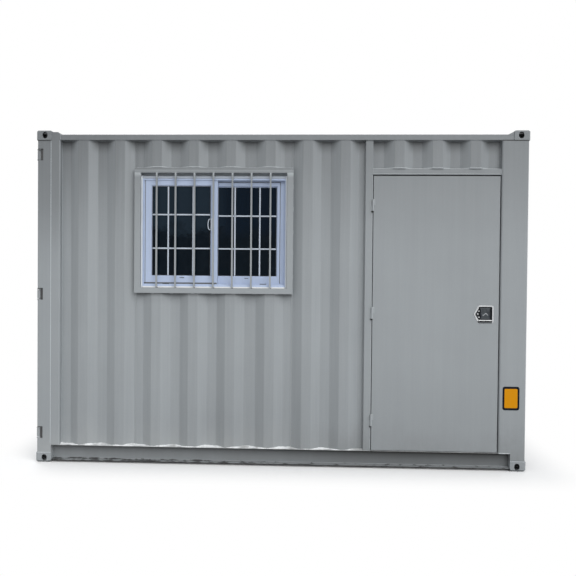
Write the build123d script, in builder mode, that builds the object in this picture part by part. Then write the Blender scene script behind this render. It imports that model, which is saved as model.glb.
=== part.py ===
"""A 12 ft steel container cabin: corrugated box, guarded window, entrance door, cargo doors at one end.

The origin is at the middle of the footprint, on the ground.  X runs along the long front wall, the
front faces -Y, and Z is up.  All sizes are in millimetres.
"""
from build123d import *
import os

# ---------------------------------------------------------------- sizes of the box and its castings
LENGTH = 3658.0  # over the corner castings, along X
WIDTH = 2200.0  # over the corner castings, along Y
HEIGHT = 2500.0  # over the corner castings, along Z
CASTING_SIDE = 115.0
CASTING_HEIGHT = 72.0
CASTING_WALL = 12.0
CASTING_CORNER = 16.0  # radius of the outer upright edge
CASTING_BEVELS = (14.0, 8.0)  # round the foot of a bottom casting, round the head of a top one
CASTING_SLOT = (50.0, 40.0)  # slot in the two outer faces: upright length, width
CASTING_SLOT_SHIFT = 8.0  # from the middle of an outer face, away from the casting's outer edge
CASTING_APERTURE = (62.0, 40.0)  # slot in the top or bottom face, along X and Y
FRAME_SETBACK = 6.0  # posts and rails stand this far inside the castings' faces
JOINT_GAP = 1.0  # between pieces that butt without carrying each other
ROUND_SIDES = 16  # flats round a bar or a barrel
SLOT_SIDES = 12  # flats round the ends of a slot

# ---------------------------------------------------------------- sizes of the steel frame
DOOR_POST_LENGTH = 174.0  # cargo end posts, along X
DOOR_POST_DEPTH = 90.0  # cargo end posts, along Y
DOOR_POST_PLATE = 6.0
END_POST_LENGTH = 195.0  # closed end posts, front flange along X
END_POST_DEPTH = 78.0  # closed end posts, end flange along Y
END_POST_LIP = 34.0
END_POST_PLATE = 5.0
POST_BEND = 12.0  # outside radius of a folded corner
SILL_Z = 132.0  # top of the bottom rails and of the floor
RAIL_CLEARANCE = 20.0  # from the ground to the underside of the bottom rails
RAIL_FLANGE = 44.0
RAIL_PLATE = 4.5
RAIL_BEND = 10.0
TOP_RAIL = 40.0  # square tube
TOP_RAIL_PLATE = 3.0
TOP_RAIL_CORNER = 2.5
SILL_DEPTH = 78.0  # cargo door sill, along X
HEADER_RISE = 20.0  # how far the cargo door header stands above the top rails
HEADER_PLATE = 5.0
HEADER_BEVEL = 17.0  # sloped shoulder beside each door post
GUSSET_LENGTH = 46.0  # corner plates on the top side rails, beside the closed end's castings
GUSSET_HEIGHT = 24.0
GUSSET_PLATE = 9.0

# ---------------------------------------------------------------- sizes of the sheets
WALL_SHEET = 2.0
CREST_SETBACK = 4.0  # outer flats of the corrugation behind the frame's faces
CORRUGATION_DEPTH = 36.0
CORRUGATION_PITCH = 278.0
CREST_FLAT = 72.0
CREST_SLOPE = 68.0
CORRUGATION_BEND = 3.0  # half length of the small flat that eases each bend
SHEET_JOINT = 16.0  # extra width of the inner flat in which two front sheets meet
SHEETS_JOIN_AFTER = 5  # outer flats before that joint
FIRST_CREST = 175.0  # from the post to the middle of the first outer flat
ROOF_SHEET = 2.0
ROOF_PAN_DEPTH = 18.0
ROOF_PAN_SLOPE = 21.5  # run of a pan's sloping sides
ROOF_PAN_PITCH = 209.0
ROOF_PAN_LENGTH = 110.0  # along X, at the top
ROOF_MARGIN = 70.0  # flat border between the pans and the rails
ROOF_LAP = 30.0  # the roof sheet lies this far on the rails

# ---------------------------------------------------------------- sizes of the floor and linings
FLOOR_BOARD = 28.0
BOARDS = 3  # boards along the floor, the back lining and the ceiling
BOARD_JOINT = 2.0
CROSS_MEMBER_HEIGHT = 80.0
CROSS_MEMBER_FLANGE = 45.0
CROSS_MEMBER_PLATE = 4.0
CROSS_MEMBERS = 11
LINING = 12.0
CEILING_DROP = 62.0  # from the top rails' top to the room's face of the ceiling

# ---------------------------------------------------------------- sizes of the window
WINDOW_LEFT = 745.0  # guard frame, from the left end of the cabin
WINDOW_WIDTH = 1188.0
WINDOW_HEIGHT = 934.0
GUARD_BAR = 46.0  # uprights' width
GUARD_HEAD_BAR = 35.0
GUARD_SILL_BAR = 40.0
GUARD_PLATE = 8.0
GUARD_EASE = 1.5  # chamfer along the guard frame's edges
GUARD_SETBACK = 2.0  # guard behind the castings' faces
GUARD_ROD = 12.0
GUARD_ROD_START = 121.0  # middle of the first rod from the opening's edge
GUARD_ROD_PITCH = 142.0
SUBFRAME_BAR = 40.0
SUBFRAME_PLATE = 3.0
WINDOW_FIT = 2.0  # beside the plastic frame, which stands on the steel subframe
WINDOW_HEAD_GAP = 22.0  # over the plastic frame, closed by a packing set back in it
PACKING_DEPTH = 32.0
WINDOW_SETBACK = 30.0  # plastic frame behind the castings' faces
WINDOW_DEPTH = 60.0
WINDOW_RIM = 15.0  # outer wall of the plastic frame
WINDOW_FIN = 38.0  # fin between the two tracks, from the outer edge
WINDOW_LIP = 30.0  # front lip at head and sill, from the outer edge
WINDOW_WEB = 4.0
SASH_DEPTH = 22.0
SASH_STILE = 62.0
SASH_MEETING = 54.0
SASH_RAIL = 78.0  # bottom rail
SASH_HEAD_RAIL = 58.0
SASH_FIT = 1.0  # beside and over a sash, which stands on the frame's sill
SASH_BEVEL = 7.0  # glazing bead's slope round the pane
PANE = 6.0

# ---------------------------------------------------------------- sizes of the entrance
DOORWAY_WIDTH = 937.0  # from the jamb to the closed end post
JAMB_WIDTH = 54.0
OVER_DOOR = 207.0  # height of the wall panel over the door
HEAD_HEIGHT = 44.0
FRAME_TUBE_PLATE = 3.0
FRAME_TUBE_CORNER = 2.5
DOOR_SETBACK = 15.0  # door and jamb faces behind the castings' faces
LEAF_GAP_HINGE = 5.0
LEAF_GAP_LOCK = 7.0
LEAF_GAP_TOP = 10.0
LEAF_GAP_BOTTOM = 5.0
LEAF_THICKNESS = 45.0
LEAF_SKIN = 2.0
LEAF_FOLD = 4.0  # outside radius of the leaf's folded upright edges
STOP_WIDTH = 22.0
STOP_DEPTH = 14.0
SEAL_DEPTH = 8.0
MOVING_CLEARANCE = 5.0
HINGE_RADIUS = 7.0
HINGE_PIN = 4.0
HINGE_PIN_FIT = 0.3
HINGE_HEIGHT = 84.0
HINGE_CAP = 6.0  # closed end of the upper knuckle
HINGE_WING = 17.0  # from the pin's axis
HINGE_WING_PLATE = 3.0
HINGE_GAP = 1.0  # between the two halves
HINGE_FROM_TOP = 217.0  # middle of the top hinge below the leaf's top
HINGE_FROM_BOTTOM = 223.0  # middle of the bottom hinge above the leaf's bottom

# ---------------------------------------------------------------- sizes of the latch
LATCH_WIDTH = 144.0
LATCH_HEIGHT = 130.0
LATCH_POINT = 34.0  # how far the hinge side is drawn out
LATCH_FROM_EDGE = 111.0  # middle of the latch from the leaf's lock edge
LATCH_Z = 1154.0
LATCH_CORNER = 16.0
LATCH_RIM = 8.0
LATCH_RIM_PLATE = 3.0
LATCH_SHELL = 1.5
LATCH_DEPTH = 24.0
PADDLE_WIDTH = 64.0
PADDLE_HEIGHT = 80.0
PADDLE_SHIFT = 11.0  # the paddle sits towards the lock side of the dish
PADDLE_PIN_RISE = 43.0  # pin above the middle of the latch
PADDLE_PIN_SETBACK = 4.0  # pin behind the leaf's face
PADDLE_PLATE = 3.0
PADDLE_LIP = 9.0
PADDLE_BARREL = 5.0
PADDLE_PIN = 2.5
PADDLE_FIT = 0.3
CHEEK = 5.0
CHEEK_GAP = 1.0
COVER_SIZE = (120.0, 150.0)  # plate over the latch on the room side
COVER_PLATE = 3.0
KNOB_RADIUS = 14.0
KNOB_HEIGHT = 10.0

# ---------------------------------------------------------------- sizes of the cargo doors
CARGO_SETBACK = 50.0  # cargo door faces behind the castings' faces
CARGO_LEAF_DEPTH = 45.0
CARGO_GAP = 8.0
CARGO_FRAME = 60.0
CARGO_PLATE = 3.0
CARGO_SWAGES = 4
GASKET_SETBACK = 8.0
GASKET_DEPTH = 24.0
GASKET_FIT = 0.5
CARGO_HINGE_INSETS = (91.0, 111.0)  # above the sill, below the header
NOTCH_WIDTH = 44.0
NOTCH_DEPTH = 46.0
NOTCH_HEIGHT = 84.0
LUG_PLATE = 8.0
BLADE_HEIGHT = 62.0
BLADE_PLATE = 6.0
BLADE_CRANK = 40.0  # length over which a blade steps down to the leaf
BLADE_LAP = 80.0  # length that lies on the leaf
CARGO_BARREL = 16.0
CARGO_PIN = 7.0
BARREL_INSET = 10.0  # barrel behind the castings' front faces
ROD_RADIUS = 13.5
ROD_STANDOFF = 22.0  # rod axis in front of the cargo doors' faces
ROD_INNER = 190.0  # inner rods, from the middle of the end
ROD_OUTER = 700.0
ROD_FIT = 1.0
GUIDE_HEIGHT = 36.0
GUIDE_BASE = 74.0
GUIDE_STRAP = 5.0
KEEPER_HEIGHT = 50.0
KEEPER_WIDTH = 62.0
KEEPER_DEPTH = 34.0
KEEPER_PLATE = 8.0
KEEPER_INSET = 6.0  # keeper from the header's and the sill's edges
CAM_WIDTH = 36.0
CAM_HEIGHT = 28.0
HANDLE_DROP = 65.0  # handles below the middle of the leaf
HANDLE_STEP = 110.0  # between the two handles of a leaf
HANDLE_LENGTH = 330.0
HANDLE_BAR = (8.0, 26.0)  # thickness, height
HUB_SIZE = (36.0, 44.0)  # width, height
CATCH_FROM_ROD = 270.0
CATCH_WIDTH = 26.0
CATCH_BASE = (60.0, 50.0, 4.0)  # width, height, thickness

# ---------------------------------------------------------------- derived places
left_end = -LENGTH / 2
right_end = LENGTH / 2
front_face = -WIDTH / 2
rail_underside = HEIGHT - CASTING_HEIGHT
rail_top = rail_underside + TOP_RAIL
frame_left = left_end + FRAME_SETBACK
frame_right = right_end - FRAME_SETBACK
frame_front = front_face + FRAME_SETBACK
casting_inner_x = LENGTH / 2 - CASTING_SIDE
casting_inner_y = WIDTH / 2 - CASTING_SIDE
door_post_inner = frame_left + DOOR_POST_LENGTH
end_post_inner = frame_right - END_POST_LENGTH
crest_front = frame_front + CREST_SETBACK
crest_end = frame_right - CREST_SETBACK
floor_edge = -frame_front - RAIL_FLANGE - RAIL_PLATE - JOINT_GAP
ceiling_z = rail_top - CEILING_DROP
jamb_right = end_post_inner - DOORWAY_WIDTH
jamb_left = jamb_right - JAMB_WIDTH
head_top = rail_underside - OVER_DOOR
head_bottom = head_top - HEAD_HEIGHT
door_face = front_face + DOOR_SETBACK
leaf_left = jamb_right + LEAF_GAP_HINGE
leaf_right = end_post_inner - LEAF_GAP_LOCK
leaf_bottom = SILL_Z + LEAF_GAP_BOTTOM
leaf_top = head_bottom - LEAF_GAP_TOP
leaf_back = door_face + LEAF_THICKNESS
seal_front = leaf_back + MOVING_CLEARANCE
frame_back = seal_front + SEAL_DEPTH + STOP_DEPTH  # back of the steel frames let into the front wall
lining_outer = -frame_back - JOINT_GAP
lining_face = lining_outer - LINING
lining_depth = WIDTH / 2 - lining_face
guard_left = left_end + WINDOW_LEFT
guard_right = guard_left + WINDOW_WIDTH
guard_bottom = head_top - WINDOW_HEIGHT
opening_x = (guard_left + GUARD_BAR, guard_right - GUARD_BAR)
opening_z = (guard_bottom + GUARD_SILL_BAR, head_top - GUARD_HEAD_BAR)
subframe_x = (opening_x[0] - SUBFRAME_BAR, opening_x[1] + SUBFRAME_BAR)
subframe_z = (opening_z[0] - SUBFRAME_BAR, opening_z[1] + SUBFRAME_BAR)
cargo_face = left_end + CARGO_SETBACK
sill_back = cargo_face + SILL_DEPTH
cargo_z = (SILL_Z + CARGO_GAP, rail_underside - CARGO_GAP)
cargo_edge = -frame_front - DOOR_POST_DEPTH - CARGO_GAP
header_top = rail_top + HEADER_RISE


# ---------------------------------------------------------------- shared shapes
def middle(limits):
    """The middle of a pair of limits."""
    return sum(limits) / 2


def span(limits):
    """The distance between a pair of limits."""
    return limits[1] - limits[0]


def across(place, width):
    """Limits of a given width about a place."""
    return (place - width / 2, place + width / 2)


def block(x_limits, y_limits, z_limits, mode=Mode.ADD):
    """A plain block between three pairs of limits."""
    limits = (x_limits, y_limits, z_limits)
    with Locations(tuple(middle(pair) for pair in limits)):
        Box(*(span(pair) for pair in limits), mode=mode)


def front_plane(y):
    """A plane facing the front, whose sketches use X and Z."""
    return Plane(origin=(0, y, 0), x_dir=(1, 0, 0), z_dir=(0, -1, 0))


def ring(x_limits, z_limits, width):
    """A rectangular frame's sketch, drawn on a front plane inside the given limits."""
    with Locations((middle(x_limits), middle(z_limits))):
        Rectangle(span(x_limits), span(z_limits))
        Rectangle(span(x_limits) - 2 * width, span(z_limits) - 2 * width, mode=Mode.SUBTRACT)


def round_section(radius):
    """The sketch of a round bar, barrel or hole, in flats."""
    RegularPolygon(radius, ROUND_SIDES)


def slot_section(length, width, upright):
    """The sketch of a slot with round ends, in flats."""
    reach = (length - width) / 2
    ends = ((0, reach), (0, -reach)) if upright else ((reach, 0), (-reach, 0))
    with Locations(*ends):
        RegularPolygon(width / 2, SLOT_SIDES)
    make_hull()


def tube_section(centre, length, height, plate, corner):
    """The sketch of a tube's section, its outer corners eased by flats."""
    x, z = length / 2, height / 2
    quarter = ((x - corner, z), (x, z - corner))
    upper = [*quarter, *((px, -pz) for px, pz in reversed(quarter))]
    with Locations(centre):
        Polygon(*upper, *((-px, -pz) for px, pz in upper))
        Rectangle(length - 2 * plate, height - 2 * plate, mode=Mode.SUBTRACT)


def save(builder, node):
    """Name a finished piece and write it."""
    builder.part.label = node
    export_step(builder.part, f"parts/{node}.step")


os.makedirs("parts", exist_ok=True)


# ---------------------------------------------------------------- corner castings
def corner_castings(base_z, aperture_side, bevel):
    """Four hollow castings at one level, slotted in both outer faces and in the bevelled flat one."""
    x = LENGTH / 2 - CASTING_SIDE / 2
    y = WIDTH / 2 - CASTING_SIDE / 2
    z = base_z + CASTING_HEIGHT / 2
    cavity = CASTING_SIDE - 2 * CASTING_WALL
    aperture_z = z + aperture_side * CASTING_HEIGHT / 2
    slot_place = (x - CASTING_SLOT_SHIFT, y - CASTING_SLOT_SHIFT)
    end_face = Plane(origin=(LENGTH / 2, slot_place[1], z), x_dir=(0, 1, 0), z_dir=(1, 0, 0))
    side_face = Plane(origin=(slot_place[0], WIDTH / 2, z), x_dir=(-1, 0, 0), z_dir=(0, 1, 0))
    flat_face = Plane(origin=(x, y, aperture_z), x_dir=(1, 0, 0), z_dir=(0, 0, aperture_side))
    with BuildPart() as castings:
        with BuildSketch(Plane((x, y, base_z))):
            Rectangle(CASTING_SIDE, CASTING_SIDE)
        extrude(amount=CASTING_HEIGHT)
        outer_corner = castings.edges().filter_by(Axis.Z).sort_by(Axis.X)[-2:].sort_by(Axis.Y)[-1]
        fillet(outer_corner, CASTING_CORNER)
        flat = castings.faces().sort_by(Axis.Z, reverse=aperture_side < 0)[-1]
        chamfer(flat.edges(), bevel)
        with Locations((x, y, z)):
            Box(cavity, cavity, CASTING_HEIGHT - 2 * CASTING_WALL, mode=Mode.SUBTRACT)
        for face in (end_face, side_face):
            with BuildSketch(face):
                slot_section(*CASTING_SLOT, upright=True)
            extrude(amount=-(CASTING_WALL + JOINT_GAP), mode=Mode.SUBTRACT)
        with BuildSketch(flat_face):
            slot_section(*CASTING_APERTURE, upright=False)
        extrude(amount=-(CASTING_WALL + JOINT_GAP), mode=Mode.SUBTRACT)
        mirror(about=Plane.XZ)
        mirror(about=Plane.YZ)
    return castings


save(corner_castings(0, -1, CASTING_BEVELS[0]), "bottom_corner_castings")
save(corner_castings(rail_underside, 1, CASTING_BEVELS[1]), "top_corner_castings")


# ---------------------------------------------------------------- posts
post_height = rail_underside - CASTING_HEIGHT
post_foot = (CASTING_HEIGHT - JOINT_GAP, SILL_Z)  # down here a post is only as long as its casting
foot_end_y = (frame_front + JOINT_GAP, -floor_edge - JOINT_GAP)  # plate that closes it there
cargo_hinge_low = SILL_Z + CARGO_HINGE_INSETS[0]
cargo_hinge_high = rail_underside - CARGO_HINGE_INSETS[1]
cargo_hinge_heights = (cargo_hinge_low, (cargo_hinge_low + cargo_hinge_high) / 2, cargo_hinge_high)

with BuildPart() as door_end_posts:
    with BuildSketch(Plane.XY.offset(CASTING_HEIGHT)):
        with Locations((frame_left + DOOR_POST_LENGTH / 2, frame_front + DOOR_POST_DEPTH / 2)):
            RectangleRounded(DOOR_POST_LENGTH, DOOR_POST_DEPTH, POST_BEND)
            hollow = (DOOR_POST_LENGTH - 2 * DOOR_POST_PLATE, DOOR_POST_DEPTH - 2 * DOOR_POST_PLATE)
            Rectangle(*hollow, mode=Mode.SUBTRACT)
    extrude(amount=post_height)
    block((-casting_inner_x, door_post_inner + 1), (front_face, 0), post_foot, mode=Mode.SUBTRACT)
    foot_end_x = (-casting_inner_x - DOOR_POST_PLATE, -casting_inner_x)
    block(foot_end_x, foot_end_y, (CASTING_HEIGHT, SILL_Z))
    notch_x = (left_end - 1, left_end + NOTCH_WIDTH)
    notch_y = (front_face - 1, front_face + NOTCH_DEPTH)
    lug_x = (frame_left, left_end + NOTCH_WIDTH)
    lug_y = (frame_front, front_face + NOTCH_DEPTH)
    for hinge_z in cargo_hinge_heights:
        notch_z = across(hinge_z, NOTCH_HEIGHT)
        block(notch_x, notch_y, notch_z, mode=Mode.SUBTRACT)
        block(lug_x, lug_y, (notch_z[0], notch_z[0] + LUG_PLATE))
        block(lug_x, lug_y, (notch_z[1] - LUG_PLATE, notch_z[1]))
    mirror(about=Plane.XZ)
save(door_end_posts, "door_end_posts")

with BuildPart() as closed_end_posts:
    with BuildSketch(Plane.XY.offset(CASTING_HEIGHT)):
        with BuildLine():
            FilletPolyline(
                (end_post_inner, frame_front + END_POST_LIP),
                (end_post_inner, frame_front),
                (frame_right, frame_front),
                (frame_right, frame_front + END_POST_DEPTH),
                (frame_right - END_POST_LIP, frame_front + END_POST_DEPTH),
                radius=POST_BEND,
            )
            offset(amount=END_POST_PLATE, side=Side.LEFT)
        make_face()
    extrude(amount=post_height)
    block((end_post_inner - 1, casting_inner_x), (front_face, 0), post_foot, mode=Mode.SUBTRACT)
    foot_end_x = (casting_inner_x, casting_inner_x + END_POST_PLATE)
    block(foot_end_x, foot_end_y, (CASTING_HEIGHT, SILL_Z))
    mirror(about=Plane.XZ)
save(closed_end_posts, "closed_end_posts")


# ---------------------------------------------------------------- bottom rails
def outward_channel(plane, length):
    """A folded channel along a plane's normal, open towards the negative side of the plane's X."""
    web = RAIL_FLANGE + RAIL_PLATE
    with BuildSketch(plane) as section:
        with BuildLine():
            turns = ((0, RAIL_CLEARANCE), (web, RAIL_CLEARANCE), (web, SILL_Z), (0, SILL_Z))
            FilletPolyline(*turns, radius=RAIL_BEND)
            offset(amount=RAIL_PLATE, side=Side.LEFT)
        make_face()
    extrude(section.sketch, amount=length)


with BuildPart() as bottom_side_rails:
    side_rail_section = Plane((-casting_inner_x, frame_front, 0), x_dir=(0, 1, 0), z_dir=(1, 0, 0))
    outward_channel(side_rail_section, 2 * casting_inner_x)
    mirror(about=Plane.XZ)
save(bottom_side_rails, "bottom_side_rails")

with BuildPart() as end_bottom_rail:
    end_rail_section = Plane((frame_right, -casting_inner_y, 0), x_dir=(-1, 0, 0), z_dir=(0, 1, 0))
    outward_channel(end_rail_section, 2 * casting_inner_y)
save(end_bottom_rail, "end_bottom_rail")

with BuildPart() as cargo_door_sill:
    with BuildSketch(front_plane(-casting_inner_y)):
        ring((cargo_face, sill_back), (RAIL_CLEARANCE, SILL_Z), HEADER_PLATE)
    extrude(amount=-2 * casting_inner_y)
save(cargo_door_sill, "cargo_door_sill")


# ---------------------------------------------------------------- header and top rails
with BuildPart() as cargo_door_header:
    with BuildSketch(front_plane(-casting_inner_y)):
        ring((cargo_face, door_post_inner), (rail_underside, header_top), HEADER_PLATE)
    extrude(amount=-2 * casting_inner_y)
    with BuildSketch(front_plane(frame_front)):
        with BuildLine():
            Polyline(
                (-casting_inner_x, rail_underside),
                (-casting_inner_x, header_top),
                (door_post_inner - HEADER_BEVEL, header_top),
                (door_post_inner, header_top - HEADER_BEVEL),
                (door_post_inner, rail_underside),
                close=True,
            )
        make_face()
    extrude(amount=frame_front + casting_inner_y)
    mirror(about=Plane.XZ)
save(cargo_door_header, "cargo_door_header")

rail_middle_z = rail_underside + TOP_RAIL / 2
with BuildPart() as top_side_rails:
    with BuildSketch(Plane((door_post_inner, 0, 0), x_dir=(0, 1, 0), z_dir=(1, 0, 0))):
        rail_centre = (frame_front + TOP_RAIL / 2, rail_middle_z)
        tube_section(rail_centre, TOP_RAIL, TOP_RAIL, TOP_RAIL_PLATE, TOP_RAIL_CORNER)
    extrude(amount=casting_inner_x - door_post_inner)
    mirror(about=Plane.XZ)
save(top_side_rails, "top_side_rails")

with BuildPart() as top_corner_gussets:
    with BuildSketch(front_plane(frame_front)):
        with BuildLine():
            Polyline(
                (casting_inner_x, rail_top),
                (casting_inner_x, rail_top + GUSSET_HEIGHT),
                (casting_inner_x - GUSSET_LENGTH, rail_top),
                close=True,
            )
        make_face()
    extrude(amount=-GUSSET_PLATE)
    mirror(about=Plane.XZ)
save(top_corner_gussets, "top_corner_gussets")

with BuildPart() as end_top_rail:
    with BuildSketch(front_plane(-casting_inner_y)):
        rail_centre = (frame_right - TOP_RAIL / 2, rail_middle_z)
        tube_section(rail_centre, TOP_RAIL, TOP_RAIL, TOP_RAIL_PLATE, TOP_RAIL_CORNER)
    extrude(amount=-2 * casting_inner_y)
save(end_top_rail, "end_top_rail")


# ---------------------------------------------------------------- corrugated walls
crest_half = CREST_FLAT / 2
foot_half = crest_half + CREST_SLOPE


def sheet_depth(place, crests):
    """Depth of the corrugation behind its outer flats, at one place along the wall."""
    distance = min(abs(place - crest) for crest in crests)
    share = (distance - crest_half) / CREST_SLOPE
    return CORRUGATION_DEPTH * min(max(share, 0.0), 1.0)


def corrugated_sheet(plane, limits, crests, height):
    """A folded sheet along a plane's X, its outer flats on that axis, with eased bends."""
    places = [
        crest + side * (turn + ease)
        for crest in crests
        for side in (-1, 1)
        for turn in (crest_half, foot_half)
        for ease in (-CORRUGATION_BEND, CORRUGATION_BEND)
    ]
    inside = [place for place in sorted(places) if limits[0] + WALL_SHEET < place < limits[1] - WALL_SHEET]
    turns = [(place, sheet_depth(place, crests)) for place in (limits[0], *inside, limits[1])]
    with BuildSketch(plane) as section:
        with BuildLine():
            Polyline(*turns)
            offset(amount=WALL_SHEET, side=Side.LEFT, kind=Kind.INTERSECTION)
        make_face()
    extrude(section.sketch, amount=height)


def even_crests(limits):
    """Middles of the outer flats of a wall without a joint, laid out evenly about its middle."""
    count = int((span(limits) - 2 * foot_half) // CORRUGATION_PITCH) + 1
    first = middle(limits) - (count - 1) * CORRUGATION_PITCH / 2
    return [first + index * CORRUGATION_PITCH for index in range(count)]


def front_crests():
    """Middles of the front wall's outer flats between the cargo end post and the entrance jamb."""
    crests = []
    place = door_post_inner + FIRST_CREST
    while place + foot_half < jamb_left:
        crests.append(place)
        place += CORRUGATION_PITCH
        if len(crests) == SHEETS_JOIN_AFTER:
            place += SHEET_JOINT
    return crests


def front_panel(x_limits, crests, z_limits):
    """One corrugated panel of the front wall."""
    with BuildPart() as panel:
        corrugated_sheet(Plane((0, crest_front, z_limits[0])), x_limits, crests, span(z_limits))
    return panel


wall_z = (SILL_Z, rail_underside)
left_x = (door_post_inner, subframe_x[0] - JOINT_GAP)
right_x = (subframe_x[1] + JOINT_GAP, jamb_left)
over_door_x = (jamb_right, end_post_inner)
front_wall_crests = front_crests()
save(front_panel(left_x, front_wall_crests, wall_z), "front_wall_left")
save(front_panel(subframe_x, front_wall_crests, (SILL_Z, subframe_z[0])), "front_wall_under_window")
save(front_panel(subframe_x, front_wall_crests, (subframe_z[1], rail_underside)), "front_wall_over_window")
save(front_panel(right_x, front_wall_crests, wall_z), "front_wall_right")
save(front_panel(over_door_x, even_crests(over_door_x), (head_top, rail_underside)), "front_wall_over_door")

with BuildPart() as back_wall:
    back_limits = (-end_post_inner, -door_post_inner)
    back_plane = Plane((0, -crest_front, SILL_Z), x_dir=(-1, 0, 0), z_dir=(0, 0, 1))
    corrugated_sheet(back_plane, back_limits, even_crests(back_limits), span(wall_z))
save(back_wall, "back_wall")

with BuildPart() as end_wall:
    end_limits = (frame_front + END_POST_DEPTH, -frame_front - END_POST_DEPTH)
    end_plane = Plane((crest_end, 0, SILL_Z), x_dir=(0, 1, 0), z_dir=(0, 0, 1))
    corrugated_sheet(end_plane, end_limits, even_crests(end_limits), span(wall_z))
save(end_wall, "end_wall")


# ---------------------------------------------------------------- roof
roof_x = (door_post_inner + JOINT_GAP, frame_right - TOP_RAIL + ROOF_LAP)
roof_edge = -frame_front - TOP_RAIL + ROOF_LAP
roof_z = (rail_top, rail_top + ROOF_SHEET)
pan_span = (door_post_inner + ROOF_MARGIN, frame_right - TOP_RAIL - ROOF_MARGIN)
pan_width = 2 * (-frame_front - TOP_RAIL - ROOF_MARGIN)
pans = int((span(pan_span) - ROOF_PAN_LENGTH) // ROOF_PAN_PITCH) + 1
first_pan = middle(pan_span) - (pans - 1) * ROOF_PAN_PITCH / 2




def roof_pan(x, top_z, grow, mode):
    """A shallow pan pressed into the roof, with sloping sides."""
    length, width = ROOF_PAN_LENGTH + grow, pan_width + grow
    near, far_x, far_y = ROOF_PAN_SLOPE, length - ROOF_PAN_SLOPE, width - ROOF_PAN_SLOPE
    with Locations((x, 0, top_z - ROOF_PAN_DEPTH / 2)):
        Wedge(length, ROOF_PAN_DEPTH, width, near, near, far_x, far_y, rotation=(-90, 0, 0), mode=mode)


with BuildPart() as roof_panel:
    block(roof_x, (-roof_edge, roof_edge), roof_z)
    for index in range(pans):
        pan_x = first_pan + index * ROOF_PAN_PITCH
        roof_pan(pan_x, roof_z[0], 2 * ROOF_SHEET, Mode.ADD)
        roof_pan(pan_x, roof_z[1], 0, Mode.SUBTRACT)
    corner_x = (casting_inner_x - JOINT_GAP, right_end)
    corner_y = (casting_inner_y - JOINT_GAP, roof_edge + 1)
    block(corner_x, corner_y, (rail_top - 1, roof_z[1] + 1), mode=Mode.SUBTRACT)
    block(corner_x, (-corner_y[1], -corner_y[0]), (rail_top - 1, roof_z[1] + 1), mode=Mode.SUBTRACT)
save(roof_panel, "roof_panel")


# ---------------------------------------------------------------- floor
floor_start = max(sill_back, -casting_inner_x) + JOINT_GAP
floor_x = (floor_start, frame_right - RAIL_FLANGE - RAIL_PLATE - JOINT_GAP)
floor_underside = SILL_Z - FLOOR_BOARD


def board_length(limits):
    """The length of one of the boards that share a stretch."""
    return (span(limits) - (BOARDS - 1) * BOARD_JOINT) / BOARDS


with BuildPart() as floor_boards:
    with BuildSketch(Plane((middle(floor_x), 0, floor_underside))):
        with GridLocations(board_length(floor_x) + BOARD_JOINT, 0, BOARDS, 1):
            Rectangle(board_length(floor_x), 2 * floor_edge)
    extrude(amount=FLOOR_BOARD)
save(floor_boards, "floor_boards")

member_x = (floor_x[0], casting_inner_x - JOINT_GAP)
member_pitch = (span(member_x) - CROSS_MEMBER_FLANGE) / (CROSS_MEMBERS - 1)
with BuildPart() as floor_cross_members:
    with BuildSketch(front_plane(-floor_edge)):
        with Locations((middle(member_x), floor_underside - CROSS_MEMBER_HEIGHT / 2)):
            with GridLocations(member_pitch, 0, CROSS_MEMBERS, 1):
                Rectangle(CROSS_MEMBER_FLANGE, CROSS_MEMBER_HEIGHT)
                with Locations((CROSS_MEMBER_PLATE, 0)):
                    web_height = CROSS_MEMBER_HEIGHT - 2 * CROSS_MEMBER_PLATE
                    Rectangle(CROSS_MEMBER_FLANGE, web_height, mode=Mode.SUBTRACT)
    extrude(amount=-2 * floor_edge)
save(floor_cross_members, "floor_cross_members")


# ---------------------------------------------------------------- linings
room_x = (door_post_inner + JOINT_GAP, LENGTH / 2 - lining_depth)
front_lining_y = (-lining_outer, -lining_face)
doorway_x = (jamb_right + STOP_WIDTH, end_post_inner - STOP_WIDTH)
lining_z = (SILL_Z, ceiling_z)
beside_window_x = (opening_x[0] + JOINT_GAP, opening_x[1] - JOINT_GAP)
over_doorway_x = (doorway_x[0] + JOINT_GAP, doorway_x[1] - JOINT_GAP)
with BuildPart() as front_lining:
    block((room_x[0], opening_x[0]), front_lining_y, lining_z)
    block(beside_window_x, front_lining_y, (lining_z[0], opening_z[0]))
    block(beside_window_x, front_lining_y, (opening_z[1], lining_z[1]))
    block((opening_x[1], doorway_x[0]), front_lining_y, lining_z)
    block(over_doorway_x, front_lining_y, (head_bottom - STOP_WIDTH, lining_z[1]))
    block((doorway_x[1], room_x[1] - JOINT_GAP), front_lining_y, lining_z)
save(front_lining, "front_lining")

with BuildPart() as back_lining:
    with BuildSketch(front_plane(lining_outer)):
        with Locations((middle(room_x), middle(lining_z))):
            with GridLocations(board_length(room_x) + BOARD_JOINT, 0, BOARDS, 1):
                Rectangle(board_length(room_x) - JOINT_GAP, span(lining_z))
    extrude(amount=LINING)
save(back_lining, "back_lining")

with BuildPart() as end_lining:
    block((room_x[1], room_x[1] + LINING), (BOARD_JOINT / 2, lining_outer), lining_z)
    mirror(about=Plane.XZ)
save(end_lining, "end_lining")

with BuildPart() as ceiling_lining:
    with BuildSketch(Plane((middle(room_x), 0, ceiling_z))):
        with GridLocations(board_length(room_x) + BOARD_JOINT, 0, BOARDS, 1):
            Rectangle(board_length(room_x), 2 * lining_outer)
    extrude(amount=LINING)
save(ceiling_lining, "ceiling_lining")


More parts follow.
